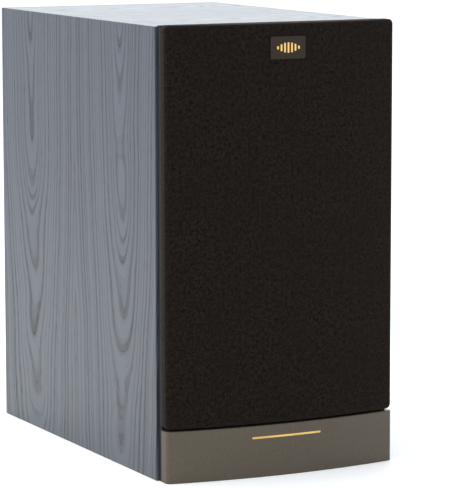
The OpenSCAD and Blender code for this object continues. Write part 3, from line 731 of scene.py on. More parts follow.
@dataclass(frozen=True)
class SatinPaint(Finish):
    """Sprayed paint with fine metal flake and a faint orange peel.

    Attributes:
        metal: share of metal in the look.
        peel: depth of the orange peel in millimetres.
    """

    metal: float = 0.5
    peel: float = 0.01

    def paint(self, graph: Graph, coat: bpy.types.Node) -> None:
        """Scatters flake in the colour and adds the peel's slow waves."""
        marks = self.uneven(graph, coat, 25.0, 0.05)
        place = graph.object_place()
        flake = graph.add("TexVoronoi", {"Vector": place, "Scale": 2600.0}, feature="F1")
        bright = graph.remap(graph.split(flake.outputs["Color"])[0], 0.0, 1.0, 0.0, 0.5)
        tone = graph.mix(bright, self.shade(0.82), self.shade(1.35))
        dusty = graph.mix(marks.outputs["Dust"], tone, self.shade(1.5))
        graph.feed(coat.inputs["Base Color"], dusty)
        coat.inputs["Metallic"].default_value = self.metal
        waves = graph.noise(place, 900.0, 2.0)
        graph.feed(coat.inputs["Normal"], graph.bump(waves, self.peel * MM, 0.5))


@dataclass(frozen=True)
class PlatedMetal(Finish):
    """Plated or drawn metal with fine lines and slightly uneven shine.

    Attributes:
        lines: the axis across which the fine lines repeat.
        pitch: distance between lines in millimetres.
    """

    lines: Axis = Axis.Y
    pitch: float = 0.12

    def paint(self, graph: Graph, coat: bpy.types.Node) -> None:
        """Draws lines as noise stretched across one axis, and tarnishes the colour a little."""
        marks = self.uneven(graph, coat, 60.0, 0.06)
        scale = [40.0, 40.0, 40.0]
        scale[self.lines.value] = 1.0 / (self.pitch * MM)
        drawn = graph.noise(graph.stretch(graph.object_place(), tuple(scale)), 1.0, 2.0)
        tarnish = graph.remap(marks.outputs["Smudge"], 0.0, 1.0, 0.0, 0.3)
        tone = graph.mix(tarnish, self.colour, self.shade(0.7))
        graph.feed(coat.inputs["Base Color"], tone)
        coat.inputs["Metallic"].default_value = 1.0
        graph.feed(coat.inputs["Normal"], graph.bump(drawn, 0.00001, 0.5))


@dataclass(frozen=True)
class KnitCloth(Finish):
    """Acoustic cloth: fine dark knitted loops with small pores.

    Attributes:
        pitch: distance between wales in millimetres.
        sheen: strength of the threads' shine at grazing angles.
    """

    pitch: float = 0.9
    sheen: float = 0.1

    def paint(self, graph: Graph, coat: bpy.types.Node) -> None:
        """Colours each loop a little differently, darkens the pores with painted shade and raises
        the loops.
        """
        place = graph.surface_place()
        knit = graph.group(Effect.KNIT.tree(), {"Vector": place, "Pitch": self.pitch * MM})
        patches = graph.noise(place, 26.0, 3.0, 0.6)
        fuzz = graph.remap(graph.noise(place, 430.0, 2.0, 0.7), 0.4, 0.6)
        half_fuzz = graph.math("MULTIPLY", fuzz, 0.5)
        thread = graph.math("MULTIPLY_ADD", knit.outputs["Tone"], 0.5, half_fuzz)
        loop = graph.mix(thread, self.shade(0.1), self.shade(2.0))
        toned = graph.mix(graph.remap(patches, 0.35, 0.65, 0.0, 0.35), loop, self.shade(0.8))
        # painted shade: the pores are darkened where the loops part
        final = graph.mix(graph.math("MULTIPLY", knit.outputs["Pore"], 0.8), toned, self.shade(0.2))
        graph.feed(coat.inputs["Base Color"], final)
        coat.inputs["Sheen Weight"].default_value = self.sheen
        coat.inputs["Sheen Roughness"].default_value = 0.3
        coat.inputs["Sheen Tint"].default_value = (1.0, 0.9, 0.8, 1.0)
        coat.inputs["Specular IOR Level"].default_value = 0.1
        graph.feed(coat.inputs["Normal"], graph.bump(knit.outputs["Height"], 0.0003, 0.6))


@dataclass(frozen=True)
class Woven(Finish):
    """Woven fibre set in resin, such as a cone or a spider.

    Attributes:
        pitch: distance between threads in millimetres.
        contrast: how much lighter the threads on top are, a painted sheen.
        relief: depth of the weave in millimetres.
        gloss: weight of the resin's clear coat.
    """

    pitch: float = 1.5
    contrast: float = 0.5
    relief: float = 0.05
    gloss: float = 0.3

    def paint(self, graph: Graph, coat: bpy.types.Node) -> None:
        """Weaves threads on the face seen along Y, with painted sheen on the squares where one set
        of threads lies on top and painted shade in the hollows between threads.
        """
        x, _, z = graph.split(graph.object_place())
        weave = graph.group(
            Effect.WEAVE.tree(), {"Vector": graph.join(x, z, 0.0), "Pitch": self.pitch * MM}
        )
        # painted sheen: squares where one set of threads lies on top are lighter
        dim, bright = self.shade(1 - self.contrast * 0.5), self.shade(1 + self.contrast)
        over = graph.mix(weave.outputs["Over"], dim, bright)
        # painted shade: darker where the weave's height is low, between the threads
        hollow_shade = graph.remap(weave.outputs["Height"], 0.0, 0.5, 0.7, 0.0)
        graph.feed(coat.inputs["Base Color"], graph.mix(hollow_shade, over, self.shade(0.3)))
        ribs = graph.bump(weave.outputs["Height"], self.relief * MM, 0.7)
        graph.feed(coat.inputs["Normal"], ribs)
        coat.inputs["Coat Weight"].default_value = self.gloss
        coat.inputs["Coat Roughness"].default_value = 0.2


@dataclass(frozen=True)
class Rubber(Finish):
    """Soft rubber with a matt bloom."""

    def paint(self, graph: Graph, coat: bpy.types.Node) -> None:
        """Lets a pale bloom gather in patches over a very fine grain."""
        marks = self.uneven(graph, coat, 40.0, 0.1)
        bloom = graph.math("MULTIPLY", marks.outputs["Smudge"], 0.35)
        graph.feed(coat.inputs["Base Color"], graph.mix(bloom, self.colour, self.shade(1.7)))
        fine = graph.noise(graph.object_place(), 2500.0, 2.0)
        graph.feed(coat.inputs["Normal"], graph.bump(fine, 0.00002, 0.5))


@dataclass(frozen=True)
class FibreBoard(Finish):
    """Raw fibreboard, or a pressed fibre strip: short fibres and specks."""

    def paint(self, graph: Graph, coat: bpy.types.Node) -> None:
        """Mixes light fibres and dark specks into the colour."""
        place = graph.object_place()
        fibres = graph.noise(graph.stretch(place, (300.0, 900.0, 900.0)), 1.0, 4.0, 0.7)
        specks = graph.remap(graph.noise(place, 1400.0, 1.0), 0.62, 0.72)
        tone = graph.mix(graph.remap(fibres, 0.3, 0.7), self.shade(0.72), self.shade(1.25))
        graph.feed(coat.inputs["Base Color"], graph.mix(specks, tone, self.shade(0.35)))
        graph.feed(coat.inputs["Normal"], graph.bump(fibres, 0.00008, 0.6))


@dataclass(frozen=True)
class Wadding(Finish):
    """Loose pale fibre."""

    def paint(self, graph: Graph, coat: bpy.types.Node) -> None:
        """Tangles fine fibres at two sizes and shades the hollows."""
        place = graph.object_place()
        coarse = graph.noise(place, 180.0, 5.0, 0.75)
        fine = graph.noise(graph.stretch(place, (1500.0, 500.0, 1500.0)), 1.0, 4.0, 0.8)
        both = graph.math("MULTIPLY_ADD", coarse, 0.6, graph.math("MULTIPLY", fine, 0.4))
        tone = graph.mix(graph.remap(both, 0.35, 0.65), self.shade(0.62), self.colour)
        graph.feed(coat.inputs["Base Color"], tone)
        coat.inputs["Sheen Weight"].default_value = 0.4
        graph.feed(coat.inputs["Normal"], graph.bump(both, 0.0012, 0.8))


@dataclass(frozen=True)
class WoundWire(Finish):
    """Enamelled wire in close turns.

    Attributes:
        along: the axis along which the turns lie side by side.
        pitch: distance between turns in millimetres.
    """

    along: Axis = Axis.Y
    pitch: float = 0.5

    def paint(self, graph: Graph, coat: bpy.types.Node) -> None:
        """Rounds each turn and shades the gaps."""
        parts = graph.split(graph.object_place())
        wound = graph.group(
            Effect.WOUND.tree(),
            {"Vector": graph.join(parts[self.along.value], 0.0, 0.0), "Pitch": self.pitch * MM},
        )
        marks = self.uneven(graph, coat, 80.0, 0.08)
        gap = graph.remap(wound.outputs["Height"], 0.0, 0.4, 0.85, 0.0)
        tarnish = graph.math("MULTIPLY", marks.outputs["Smudge"], 0.4)
        tone = graph.mix(tarnish, self.colour, self.shade(0.6))
        graph.feed(coat.inputs["Base Color"], graph.mix(gap, tone, self.shade(0.15)))
        coat.inputs["Metallic"].default_value = 0.85
        turns = graph.bump(wound.outputs["Height"], self.pitch * MM * 0.4, 0.8)
        graph.feed(coat.inputs["Normal"], turns)


@dataclass(frozen=True)
class Ferrite(Finish):
    """Sintered magnet: fine pits and a few pale chips."""

    def paint(self, graph: Graph, coat: bpy.types.Node) -> None:
        """Pits the surface, darkens the pits with painted shade and lightens the chips."""
        place = graph.object_place()
        pits = graph.noise(place, 1600.0, 3.0, 0.7)
        chips = graph.remap(graph.noise(place, 220.0, 4.0, 0.75), 0.62, 0.7)
        # painted shade: the tone follows the pits' height, darker where the surface is low
        tone = graph.mix(graph.remap(pits, 0.3, 0.7), self.shade(0.7), self.shade(1.3))
        graph.feed(coat.inputs["Base Color"], graph.mix(chips, tone, self.shade(2.2)))
        graph.feed(coat.inputs["Normal"], graph.bump(pits, 0.00006, 0.7))


@dataclass(frozen=True)
class CircuitBoard(Finish):
    """Solder mask over copper tracks.

    Attributes:
        track: colour of the mask over copper, linear.
    """

    track: Colour = (0.04, 0.25, 0.08)

    def paint(self, graph: Graph, coat: bpy.types.Node) -> None:
        """Lays tracks as the lines of a brick pattern in the board's plane."""
        x, y, _ = graph.split(graph.object_place())
        plane = graph.join(x, y, 0.0)
        tracks = {"Vector": plane, "Scale": 60.0, "Mortar Size": 0.07, "Mortar Smooth": 0.1}
        bricks = graph.add("TexBrick", tracks)
        mask = bricks.outputs["Fac"]
        cloud = graph.noise(graph.object_place(), 60.0, 3.0)
        base = graph.mix(graph.remap(cloud, 0.3, 0.7, 0.0, 0.5), self.colour, self.shade(0.7))
        graph.feed(coat.inputs["Base Color"], graph.mix(mask, base, self.track))
        graph.feed(coat.inputs["Normal"], graph.bump(mask, 0.00005, 0.8))
        coat.inputs["Coat Weight"].default_value = 0.4


@dataclass(frozen=True)
class DippedParts(Finish):
    """Film capacitors on one side of the board and cement resistors on the other.

    Attributes:
        cement: colour of the resistors, linear.
        border: X in metres that parts the two.
    """

    cement: Colour = (0.62, 0.6, 0.53)
    border: float = -0.008

    def paint(self, graph: Graph, coat: bpy.types.Node) -> None:
        """Changes colour at the border, with a pale end band on each capacitor."""
        place = graph.object_place()
        x, _, _ = graph.split(place)
        right = graph.math("GREATER_THAN", x, self.border)
        from_end = graph.math("ABSOLUTE", graph.math("SUBTRACT", x, 0.026))
        band = graph.math("LESS_THAN", from_end, 0.0016)
        grain = graph.remap(graph.noise(place, 700.0, 3.0), 0.3, 0.7)
        cement = graph.mix(grain, tuple(c * 0.8 for c in self.cement), self.cement)
        film = graph.mix(band, self.colour, (0.6, 0.6, 0.6))
        graph.feed(coat.inputs["Base Color"], graph.mix(right, cement, film))
        graph.feed(coat.inputs["Roughness"], graph.remap(right, 0.0, 1.0, 0.8, self.roughness))
        graph.feed(coat.inputs["Normal"], graph.bump(grain, 0.00004, 0.4))


@dataclass(frozen=True)
class PairedWire(Finish):
    """Wire insulation: one colour on the right side and another on the left.

    Attributes:
        other: the left side's colour, linear.
    """

    other: Colour = (0.02, 0.02, 0.022)

    def paint(self, graph: Graph, coat: bpy.types.Node) -> None:
        """Changes colour at the middle and adds a faint ripple."""
        place = graph.object_place()
        x, _, _ = graph.split(place)
        side = graph.math("GREATER_THAN", x, 0.0)
        ripple = graph.noise(place, 500.0, 2.0)
        tone = graph.mix(side, self.other, self.colour)
        faded = graph.mix(graph.remap(ripple, 0.3, 0.7, 0.0, 0.25), tone, (0.2, 0.2, 0.2))
        graph.feed(coat.inputs["Base Color"], faded)
        graph.feed(coat.inputs["Normal"], graph.bump(ripple, 0.00005, 0.5))


BLACK_PLASTIC = (0.014, 0.014, 0.0145)
GOLD = (0.72, 0.47, 0.15)
STEEL = (0.6, 0.61, 0.62)
COPPER = (0.6, 0.24, 0.1)

# The wraps' colours are lighter than black ash, and the panels' is bluer too: they hold the wrap's
# own colour together with painted reflection of the bright, bluish surround.
ASH_PANEL = AshWrap("ash_wrap_panels", (0.054, 0.063, 0.081), 0.34)
ASH_REAR = AshWrap("ash_wrap_rear", (0.06, 0.063, 0.07), 0.4, Axis.Z)
BARE_BOARD = FibreBoard("bare_fibreboard", (0.36, 0.24, 0.13), 0.85)
BAFFLE_BLACK = Moulded("baffle_laminate", (0.010, 0.011, 0.014), 0.5, 0.9, 0.015, 0.0, 0.3)
TRIM_BRONZE = SatinPaint("trim_titanium_bronze", (0.087, 0.07, 0.05), 0.38, 0.45, 0.008)
TRIM_GOLD = PlatedMetal("trim_gold", GOLD, 0.3, Axis.Z, 0.2)
BADGE_GLOSS = Moulded("badge_lacquer", (0.024, 0.015, 0.0095), 0.34, 2.0, 0.004, 0.0, 0.22)
BADGE_GOLD = PlatedMetal("badge_gold", (0.95, 0.62, 0.2), 0.28, Axis.Z, 0.15)
GRILLE_KNIT = KnitCloth("grille_knit", (0.0115, 0.0073, 0.0054), 0.9)
BLACK_MOULDED = Moulded("black_moulding", BLACK_PLASTIC, 0.5, 0.5, 0.02)
FACE_MOULDED = Moulded("tweeter_face_moulding", (0.017, 0.017, 0.018), 0.38, 0.4, 0.008)
BASKET_COAT = SatinPaint("basket_powder_coat", (0.02, 0.02, 0.021), 0.5, 0.1, 0.05)
SOFT_RUBBER = Rubber("soft_rubber_black", (0.014, 0.014, 0.015), 0.62)
CONE_WEAVE = Woven("cone_weave", (0.09, 0.09, 0.095), 0.35, 1.7, 0.6, 0.06, 0.35)
CAP_WEAVE = Woven("dust_cap_weave", (0.06, 0.06, 0.064), 0.3, 1.2, 0.4, 0.04, 0.6)
SPIDER_WEAVE = Woven("spider_weave", (0.5, 0.27, 0.06), 0.75, 0.8, 0.3, 0.08, 0.0)
DOME_WEAVE = Woven("dome_silk", (0.016, 0.016, 0.019), 0.45, 0.35, 0.5, 0.02, 0.25)
AMBER_FILM = Moulded("former_amber_film", (0.42, 0.2, 0.05), 0.35, 3.0, 0.004, 0.3)
VOICE_COIL = WoundWire("voice_coil_wire", COPPER, 0.35, Axis.Y, 0.3)
LEAD_BRAID = WoundWire("lead_braid", (0.68, 0.36, 0.18), 0.4, Axis.Z, 0.6)
CHOKE_WIRE = WoundWire("choke_wire", COPPER, 0.3, Axis.Z, 0.9)
ZINC = PlatedMetal("zinc_plate", STEEL, 0.34, Axis.Y, 0.2)
FERRITE = Ferrite("ferrite_grey", (0.035, 0.035, 0.037), 0.75)
TAG_BOARD = FibreBoard("tag_board", (0.3, 0.16, 0.06), 0.8)
OXIDE_SCREW = PlatedMetal("black_oxide", (0.06, 0.06, 0.062), 0.4, Axis.Y, 0.1)
GOLD_PLATE = PlatedMetal("gold_plate_bright", (0.85, 0.58, 0.2), 0.2, Axis.Y, 0.25)
CAP_BLACK = Moulded("cap_black_gloss", (0.012, 0.012, 0.013), 0.22, 1.5, 0.004, 0.5)
CAP_RED = Moulded("cap_red_gloss", (0.42, 0.008, 0.008), 0.22, 1.5, 0.004, 0.5)
MARK_WHITE = Moulded("polarity_mark", (0.5, 0.5, 0.5), 0.5, 0.5, 0.01)
BOARD_GREEN = CircuitBoard("board_green", (0.01, 0.09, 0.03), 0.35)
DIPPED = DippedParts("dipped_capacitors", (0.015, 0.03, 0.25), 0.3)
WIRE_PVC = PairedWire("wire_insulation_pair", (0.45, 0.01, 0.012), 0.45)
FIBRE = Wadding("polyester_wadding", (0.75, 0.74, 0.7), 0.95)


# ---------------------------------------------------------------- cabinet


@dataclass
class Side:
    """One wrapped panel of the cabinet's loop, seen from the front.

    Attributes:
        node: its CAD node.
        start: x and z of the loop's corner where it starts.
        along: the direction it runs in, in x and z.
        inward: the direction into the cabinet, in x and z.
        length: its length along the loop.
        travelled: how far round the loop it starts.
    """

    node: str
    start: tuple[float, float]
    along: tuple[float, float]
    inward: tuple[float, float]
    length: float
    travelled: float


@dataclass
class Cabinet:
    """The box: four wrapped panels folded round a loop, the baffle, the rear panel and the inside.

    Attributes:
        frame: the loaded frame.
        wall: thickness of the panels.
        fold: radius of the wrap at the folded corners.
        lip: radius of the panels' front and rear edges.
        fluff: how far the wadding's surface rises and falls.
    """

    frame: dict[str, Any]
    wall: float = 12.0
    fold: float = 0.7
    lip: float = 0.6
    fluff: float = 1.3

    def sides(self) -> list[Side]:
        """The four panels in order round the loop, up the left side first."""
        low, high = box_mm("left_side_panel")
        x, h = -low[0], high[2]
        w = 2 * x
        return [
            Side("left_side_panel", (-x, 0), (0, 1), (1, 0), h, 0),
            Side("top_panel", (-x, h), (1, 0), (0, -1), w, h),
            Side("right_side_panel", (x, h), (0, -1), (-1, 0), h, h + w),
            Side("bottom_panel", (x, 0), (-1, 0), (0, 1), w, 2 * h + w),
        ]

    def section(self, length: float) -> tuple[np.ndarray, np.ndarray]:
        """The panel's mitred section, and how each point moves as its outer face is drawn in.

        Each fold is an eighth of a circle that runs from the mitre to the outer face:
        t = fold (1 - sin a), d = fold (1 - cos a) for a from 45 degrees to 0, and its mirror.

        Args:
            length: the panel's length along the loop.

        Returns:
            Points (t, d), with t along the loop and d inward, and unit moves for one millimetre.
        """
        a = np.linspace(np.pi / 4, 0, 5)
        first = self.fold * np.stack([1 - np.sin(a), 1 - np.cos(a)], axis=-1)
        last = first[::-1] * [-1, 1] + [length, 0]
        inner = np.array([[length - self.wall, self.wall], [self.wall, self.wall]])
        moves = np.concatenate(
            [np.tile([1.0, 1.0], (5, 1)), np.tile([-1.0, 1.0], (5, 1)), np.zeros((2, 2))]
        )
        return np.concatenate([first, last, inner]), moves

    def panel(self, side: Side) -> bpy.types.Object:
        """One panel: its section carried along Y, drawn in by a quarter circle at both ends.

        At angle p of the quarter circle the section stands lip (1 - cos p) from the end and its
        outer face is drawn in by lip (1 - sin p). The map runs round the loop and along Y.
        """
        low, high = box_mm(side.node)
        section, moves = self.section(side.length)
        p = np.linspace(0, np.pi / 2, 5)
        away, inset = self.lip * (1 - np.cos(p)), self.lip * (1 - np.sin(p))
        y = np.concatenate([low[1] + away, high[1] - away[::-1]])
        drawn = np.concatenate([inset, inset[::-1]])
        td = section[None] + drawn[:, None, None] * moves[None]
        flat = (
            np.array(side.start)
            + td[..., :1] * np.array(side.along)
            + td[..., 1:] * np.array(side.inward)
        )
        depth = np.broadcast_to(y[:, None], flat.shape[:2])
        points = np.stack([flat[..., 0], depth, flat[..., 1]], axis=-1)
        turn = np.repeat([-1.0, 1.0], len(p))[:, None]
        uv = np.stack([side.travelled + td[..., 0], depth + turn * td[..., 1]], axis=-1) * MM
        strips = np.array([0] * 9 + [1] * 3)
        patch = Patch(points, cap_first=True, cap_last=True, uv=uv, strip_slots=strips)
        return weighted(build(side.node + "_wrapped", [patch], 50.0))

    def blanket(self) -> bpy.types.Object:
        """The wadding: a flat bolster carried up one side, under the top and down the other.

        The path has round corners. Its section is a superellipse, |y/a|^4 + |n/b|^4 = 1, and the
        surface sinks by fluff times a sum of slow sines of place.
        """
        low, high = box_mm("damping_wadding")
        b = 7.6
        x, top, foot = high[0] - b - 0.4, high[2] - b - 0.4, low[2] + 1
        corner = 13.0
        straight_up = np.linspace(foot, top - corner, 34)
        a = np.linspace(np.pi, np.pi / 2, 10)[1:-1]
        across = np.linspace(-x + corner, x - corner, 22)
        left = np.stack([np.full(34, -x), straight_up], axis=-1)
        bend = np.stack([-x + corner + corner * np.cos(a), top - corner + corner * np.sin(a)], -1)
        middle = np.stack([across, np.full(22, top)], axis=-1)
        half = np.concatenate([left, bend])
        path = np.concatenate([half, middle, half[::-1] * [-1, 1]])
        heading = np.gradient(path, axis=0)
        heading /= np.linalg.norm(heading, axis=1, keepdims=True)
        normal = np.stack([-heading[:, 1], heading[:, 0]], axis=-1)
        angle = np.arange(64) * 2 * np.pi / 64
        c, s = np.cos(angle), np.sin(angle)
        ring = np.stack([np.sign(c) * np.abs(c) ** 0.5, np.sign(s) * np.abs(s) ** 0.5], axis=-1)
        a_half, mid = (high[1] - low[1]) / 2 - 1, (high[1] + low[1]) / 2
        run = np.linspace(0, 40, len(path))[:, None]
        lump = (
            np.sin(run * 1.7 + 3 * c) + np.sin(run * 0.9 + 5 * s + 1) + np.sin(run * 2.9 + 7 * c)
        )
        shrink = 1 - self.fluff * (0.5 + lump / 6) / b
        rim = np.sqrt(np.clip(1 - np.linspace(-1, 1, len(path)) ** 16, 0.05, 1))[:, None]
        n = b * ring[:, 1] * shrink * rim
        y = mid + a_half * ring[:, 0] * (1 - (1 - shrink) * 0.3)
        points = np.stack(
            [path[:, :1] + normal[:, :1] * n, y, path[:, 1:] + normal[:, 1:] * n], axis=-1
        )
        piece = build("wadding_blanket", [Patch(points, cap_first=True, cap_last=True)], 80.0)
        return piece

    def make(self) -> None:
        """Builds and dresses the box."""
        for side in self.sides():
            settle(self.panel(side), "cabinet", [side.node], [ASH_PANEL, BARE_BOARD])
        rear = softened(self.frame, "rear_panel", 0.3)
        settle(rear, "cabinet", ["rear_panel"], [ASH_REAR])
        baffle = softened(self.frame, "front_baffle", 0.5)
        settle(baffle, "cabinet", ["front_baffle"], [BAFFLE_BLACK])
        dress(self.frame, BARE_BOARD, "window_brace", "corner_blocks")
        blanket = settle(self.blanket(), "cabinet", ["damping_wadding"], [FIBRE])


# ---------------------------------------------------------------- bowed front


@dataclass
class Bow:
    """The arc of the bowed front as seen from above.

    Attributes:
        half: half its width.
        depth: how far its middle stands in front of its ends.
        front: y of its middle.
    """

    half: float
    depth: float
    front: float

    @property
    def radius(self) -> float:
        """Radius of the arc through the middle and both ends."""
        return (self.half**2 + self.depth**2) / (2 * self.depth)

    @property
    def centre(self) -> float:
        """y of the arc's centre."""
        return self.front + self.radius

    def y(self, x: np.ndarray) -> np.ndarray:
        """y of the front at x, from the circle's equation."""
        return self.centre - np.sqrt(self.radius**2 - np.square(x))

    def plan(self, corner: float, back: float, steps: int = 72) -> tuple[np.ndarray, np.ndarray]:
        """The outline from the back of the left side, round the bow, to the back of the right side.

        A side wall at x = half runs to a corner arc, which touches the wall and the bow.

        Args:
            corner: radius of the corners.
            back: y of the open back.
            steps: points on the bow.

        Returns:
            Points (x, y) and their outward directions.
        """
        cx = self.half - corner
        cy = self.centre - math.sqrt((self.radius - corner) ** 2 - cx**2)
        touch = 2 * np.pi + math.atan2(cy - self.centre, -cx)
        turn = np.linspace(np.pi, touch, 9)
        arc_n = np.stack([np.cos(turn), np.sin(turn)], axis=-1)
        arc = arc_n * corner + [-cx, cy]
        sweep = np.linspace(touch, 3 * np.pi - touch, steps)[1:-1]
        bow_n = np.stack([np.cos(sweep), np.sin(sweep)], axis=-1)
        bow = bow_n * self.radius + [0, self.centre]
        wall = np.stack([np.full(3, -self.half), np.linspace(back, cy, 4)[:-1]], axis=-1)
        wall_n = np.tile([-1.0, 0.0], (3, 1))
        left, left_n = np.concatenate([wall, arc]), np.concatenate([wall_n, arc_n])
        mirror = [-1, 1]
        points = np.concatenate([left, bow, left[::-1] * mirror])
        normals = np.concatenate([left_n, bow_n, left_n[::-1] * mirror])
        return points, normals


def front_bow() -> Bow:
    """The bow that the grille and the trim share."""
    low, high = box_mm("grille_cloth")
    return Bow(half=high[0], depth=8.0, front=low[1])


@dataclass
class Trim:
    """The strip along the bottom of the front, with a thin bright bar let into it.

    Attributes:
        frame: the loaded frame.
        corner: radius of its upright corners.
        edge: radius of its top and bottom edges.
        proud: how far the bar stands out.
    """

    frame: dict[str, Any]
    corner: float = 3.0
    edge: float = 0.7
    proud: float = 0.15

    def strip(self, bow: Bow) -> Patch:
        """The bowed outline carried upwards, drawn in by a quarter circle at both ends."""
        low, high = box_mm("bottom_trim")
        back = box_mm("front_baffle")[0][1]
        outline, normals = bow.plan(self.corner, back)
        p = np.linspace(0, np.pi / 2, 6)
        away, inset = self.edge * (1 - np.cos(p)), self.edge * (1 - np.sin(p))
        z = np.concatenate([low[2] + away, high[2] - away[::-1]])
        drawn = np.concatenate([inset, inset[::-1]])
        flat = outline[None] - drawn[:, None, None] * normals[None]
        points = np.concatenate(
            [flat, np.broadcast_to(z[:, None, None], (*flat.shape[:2], 1))], axis=-1
        )
        return Patch(points, cap_first=True, cap_last=True)

    def bar(self, bow: Bow) -> Patch:
        """A thin bar that follows the bow: a rounded section in (out, up) carried along it.

        The section shrinks to nothing over the last half millimetre at each end.
        """
        low, high = box_mm("trim_accent")
        half_h, mid = (high[2] - low[2]) / 2, (high[2] + low[2]) / 2
        angle = np.arange(16) * 2 * np.pi / 16
        c, s = np.cos(angle), np.sin(angle)
        out = self.proud * np.sign(c) * np.abs(c) ** 0.4
        up = half_h * np.sign(s) * np.abs(s) ** 0.4
        x = np.concatenate([[low[0]], np.linspace(low[0] + 0.4, high[0] - 0.4, 40), [high[0]]])
        size = np.ones(len(x))
        size[[0, -1]] = 0.6
        turn = np.arcsin(x / bow.radius)[:, None]
        reach = bow.radius + out[None] * size[:, None]
        points = np.stack(
            [
                reach * np.sin(turn),
                bow.centre - reach * np.cos(turn),
                mid + np.broadcast_to(up, (len(x), 16)) * size[:, None],
            ],
            axis=-1,
        )
        return Patch(points, cap_first=True, cap_last=True)

    def make(self) -> None:
        """Builds and dresses the strip and its bar."""
        bow = front_bow()
        strip = weighted(build("trim_strip", [self.strip(bow)], 50.0))
        settle(strip, "cabinet", ["bottom_trim"], [TRIM_BRONZE])
        bar = build("trim_bar", [self.bar(bow)], 60.0)
        settle(bar, "cabinet", ["trim_accent"], [TRIM_GOLD])
        dress(self.frame, BLACK_MOULDED, "trim_studs", "grille_sockets")


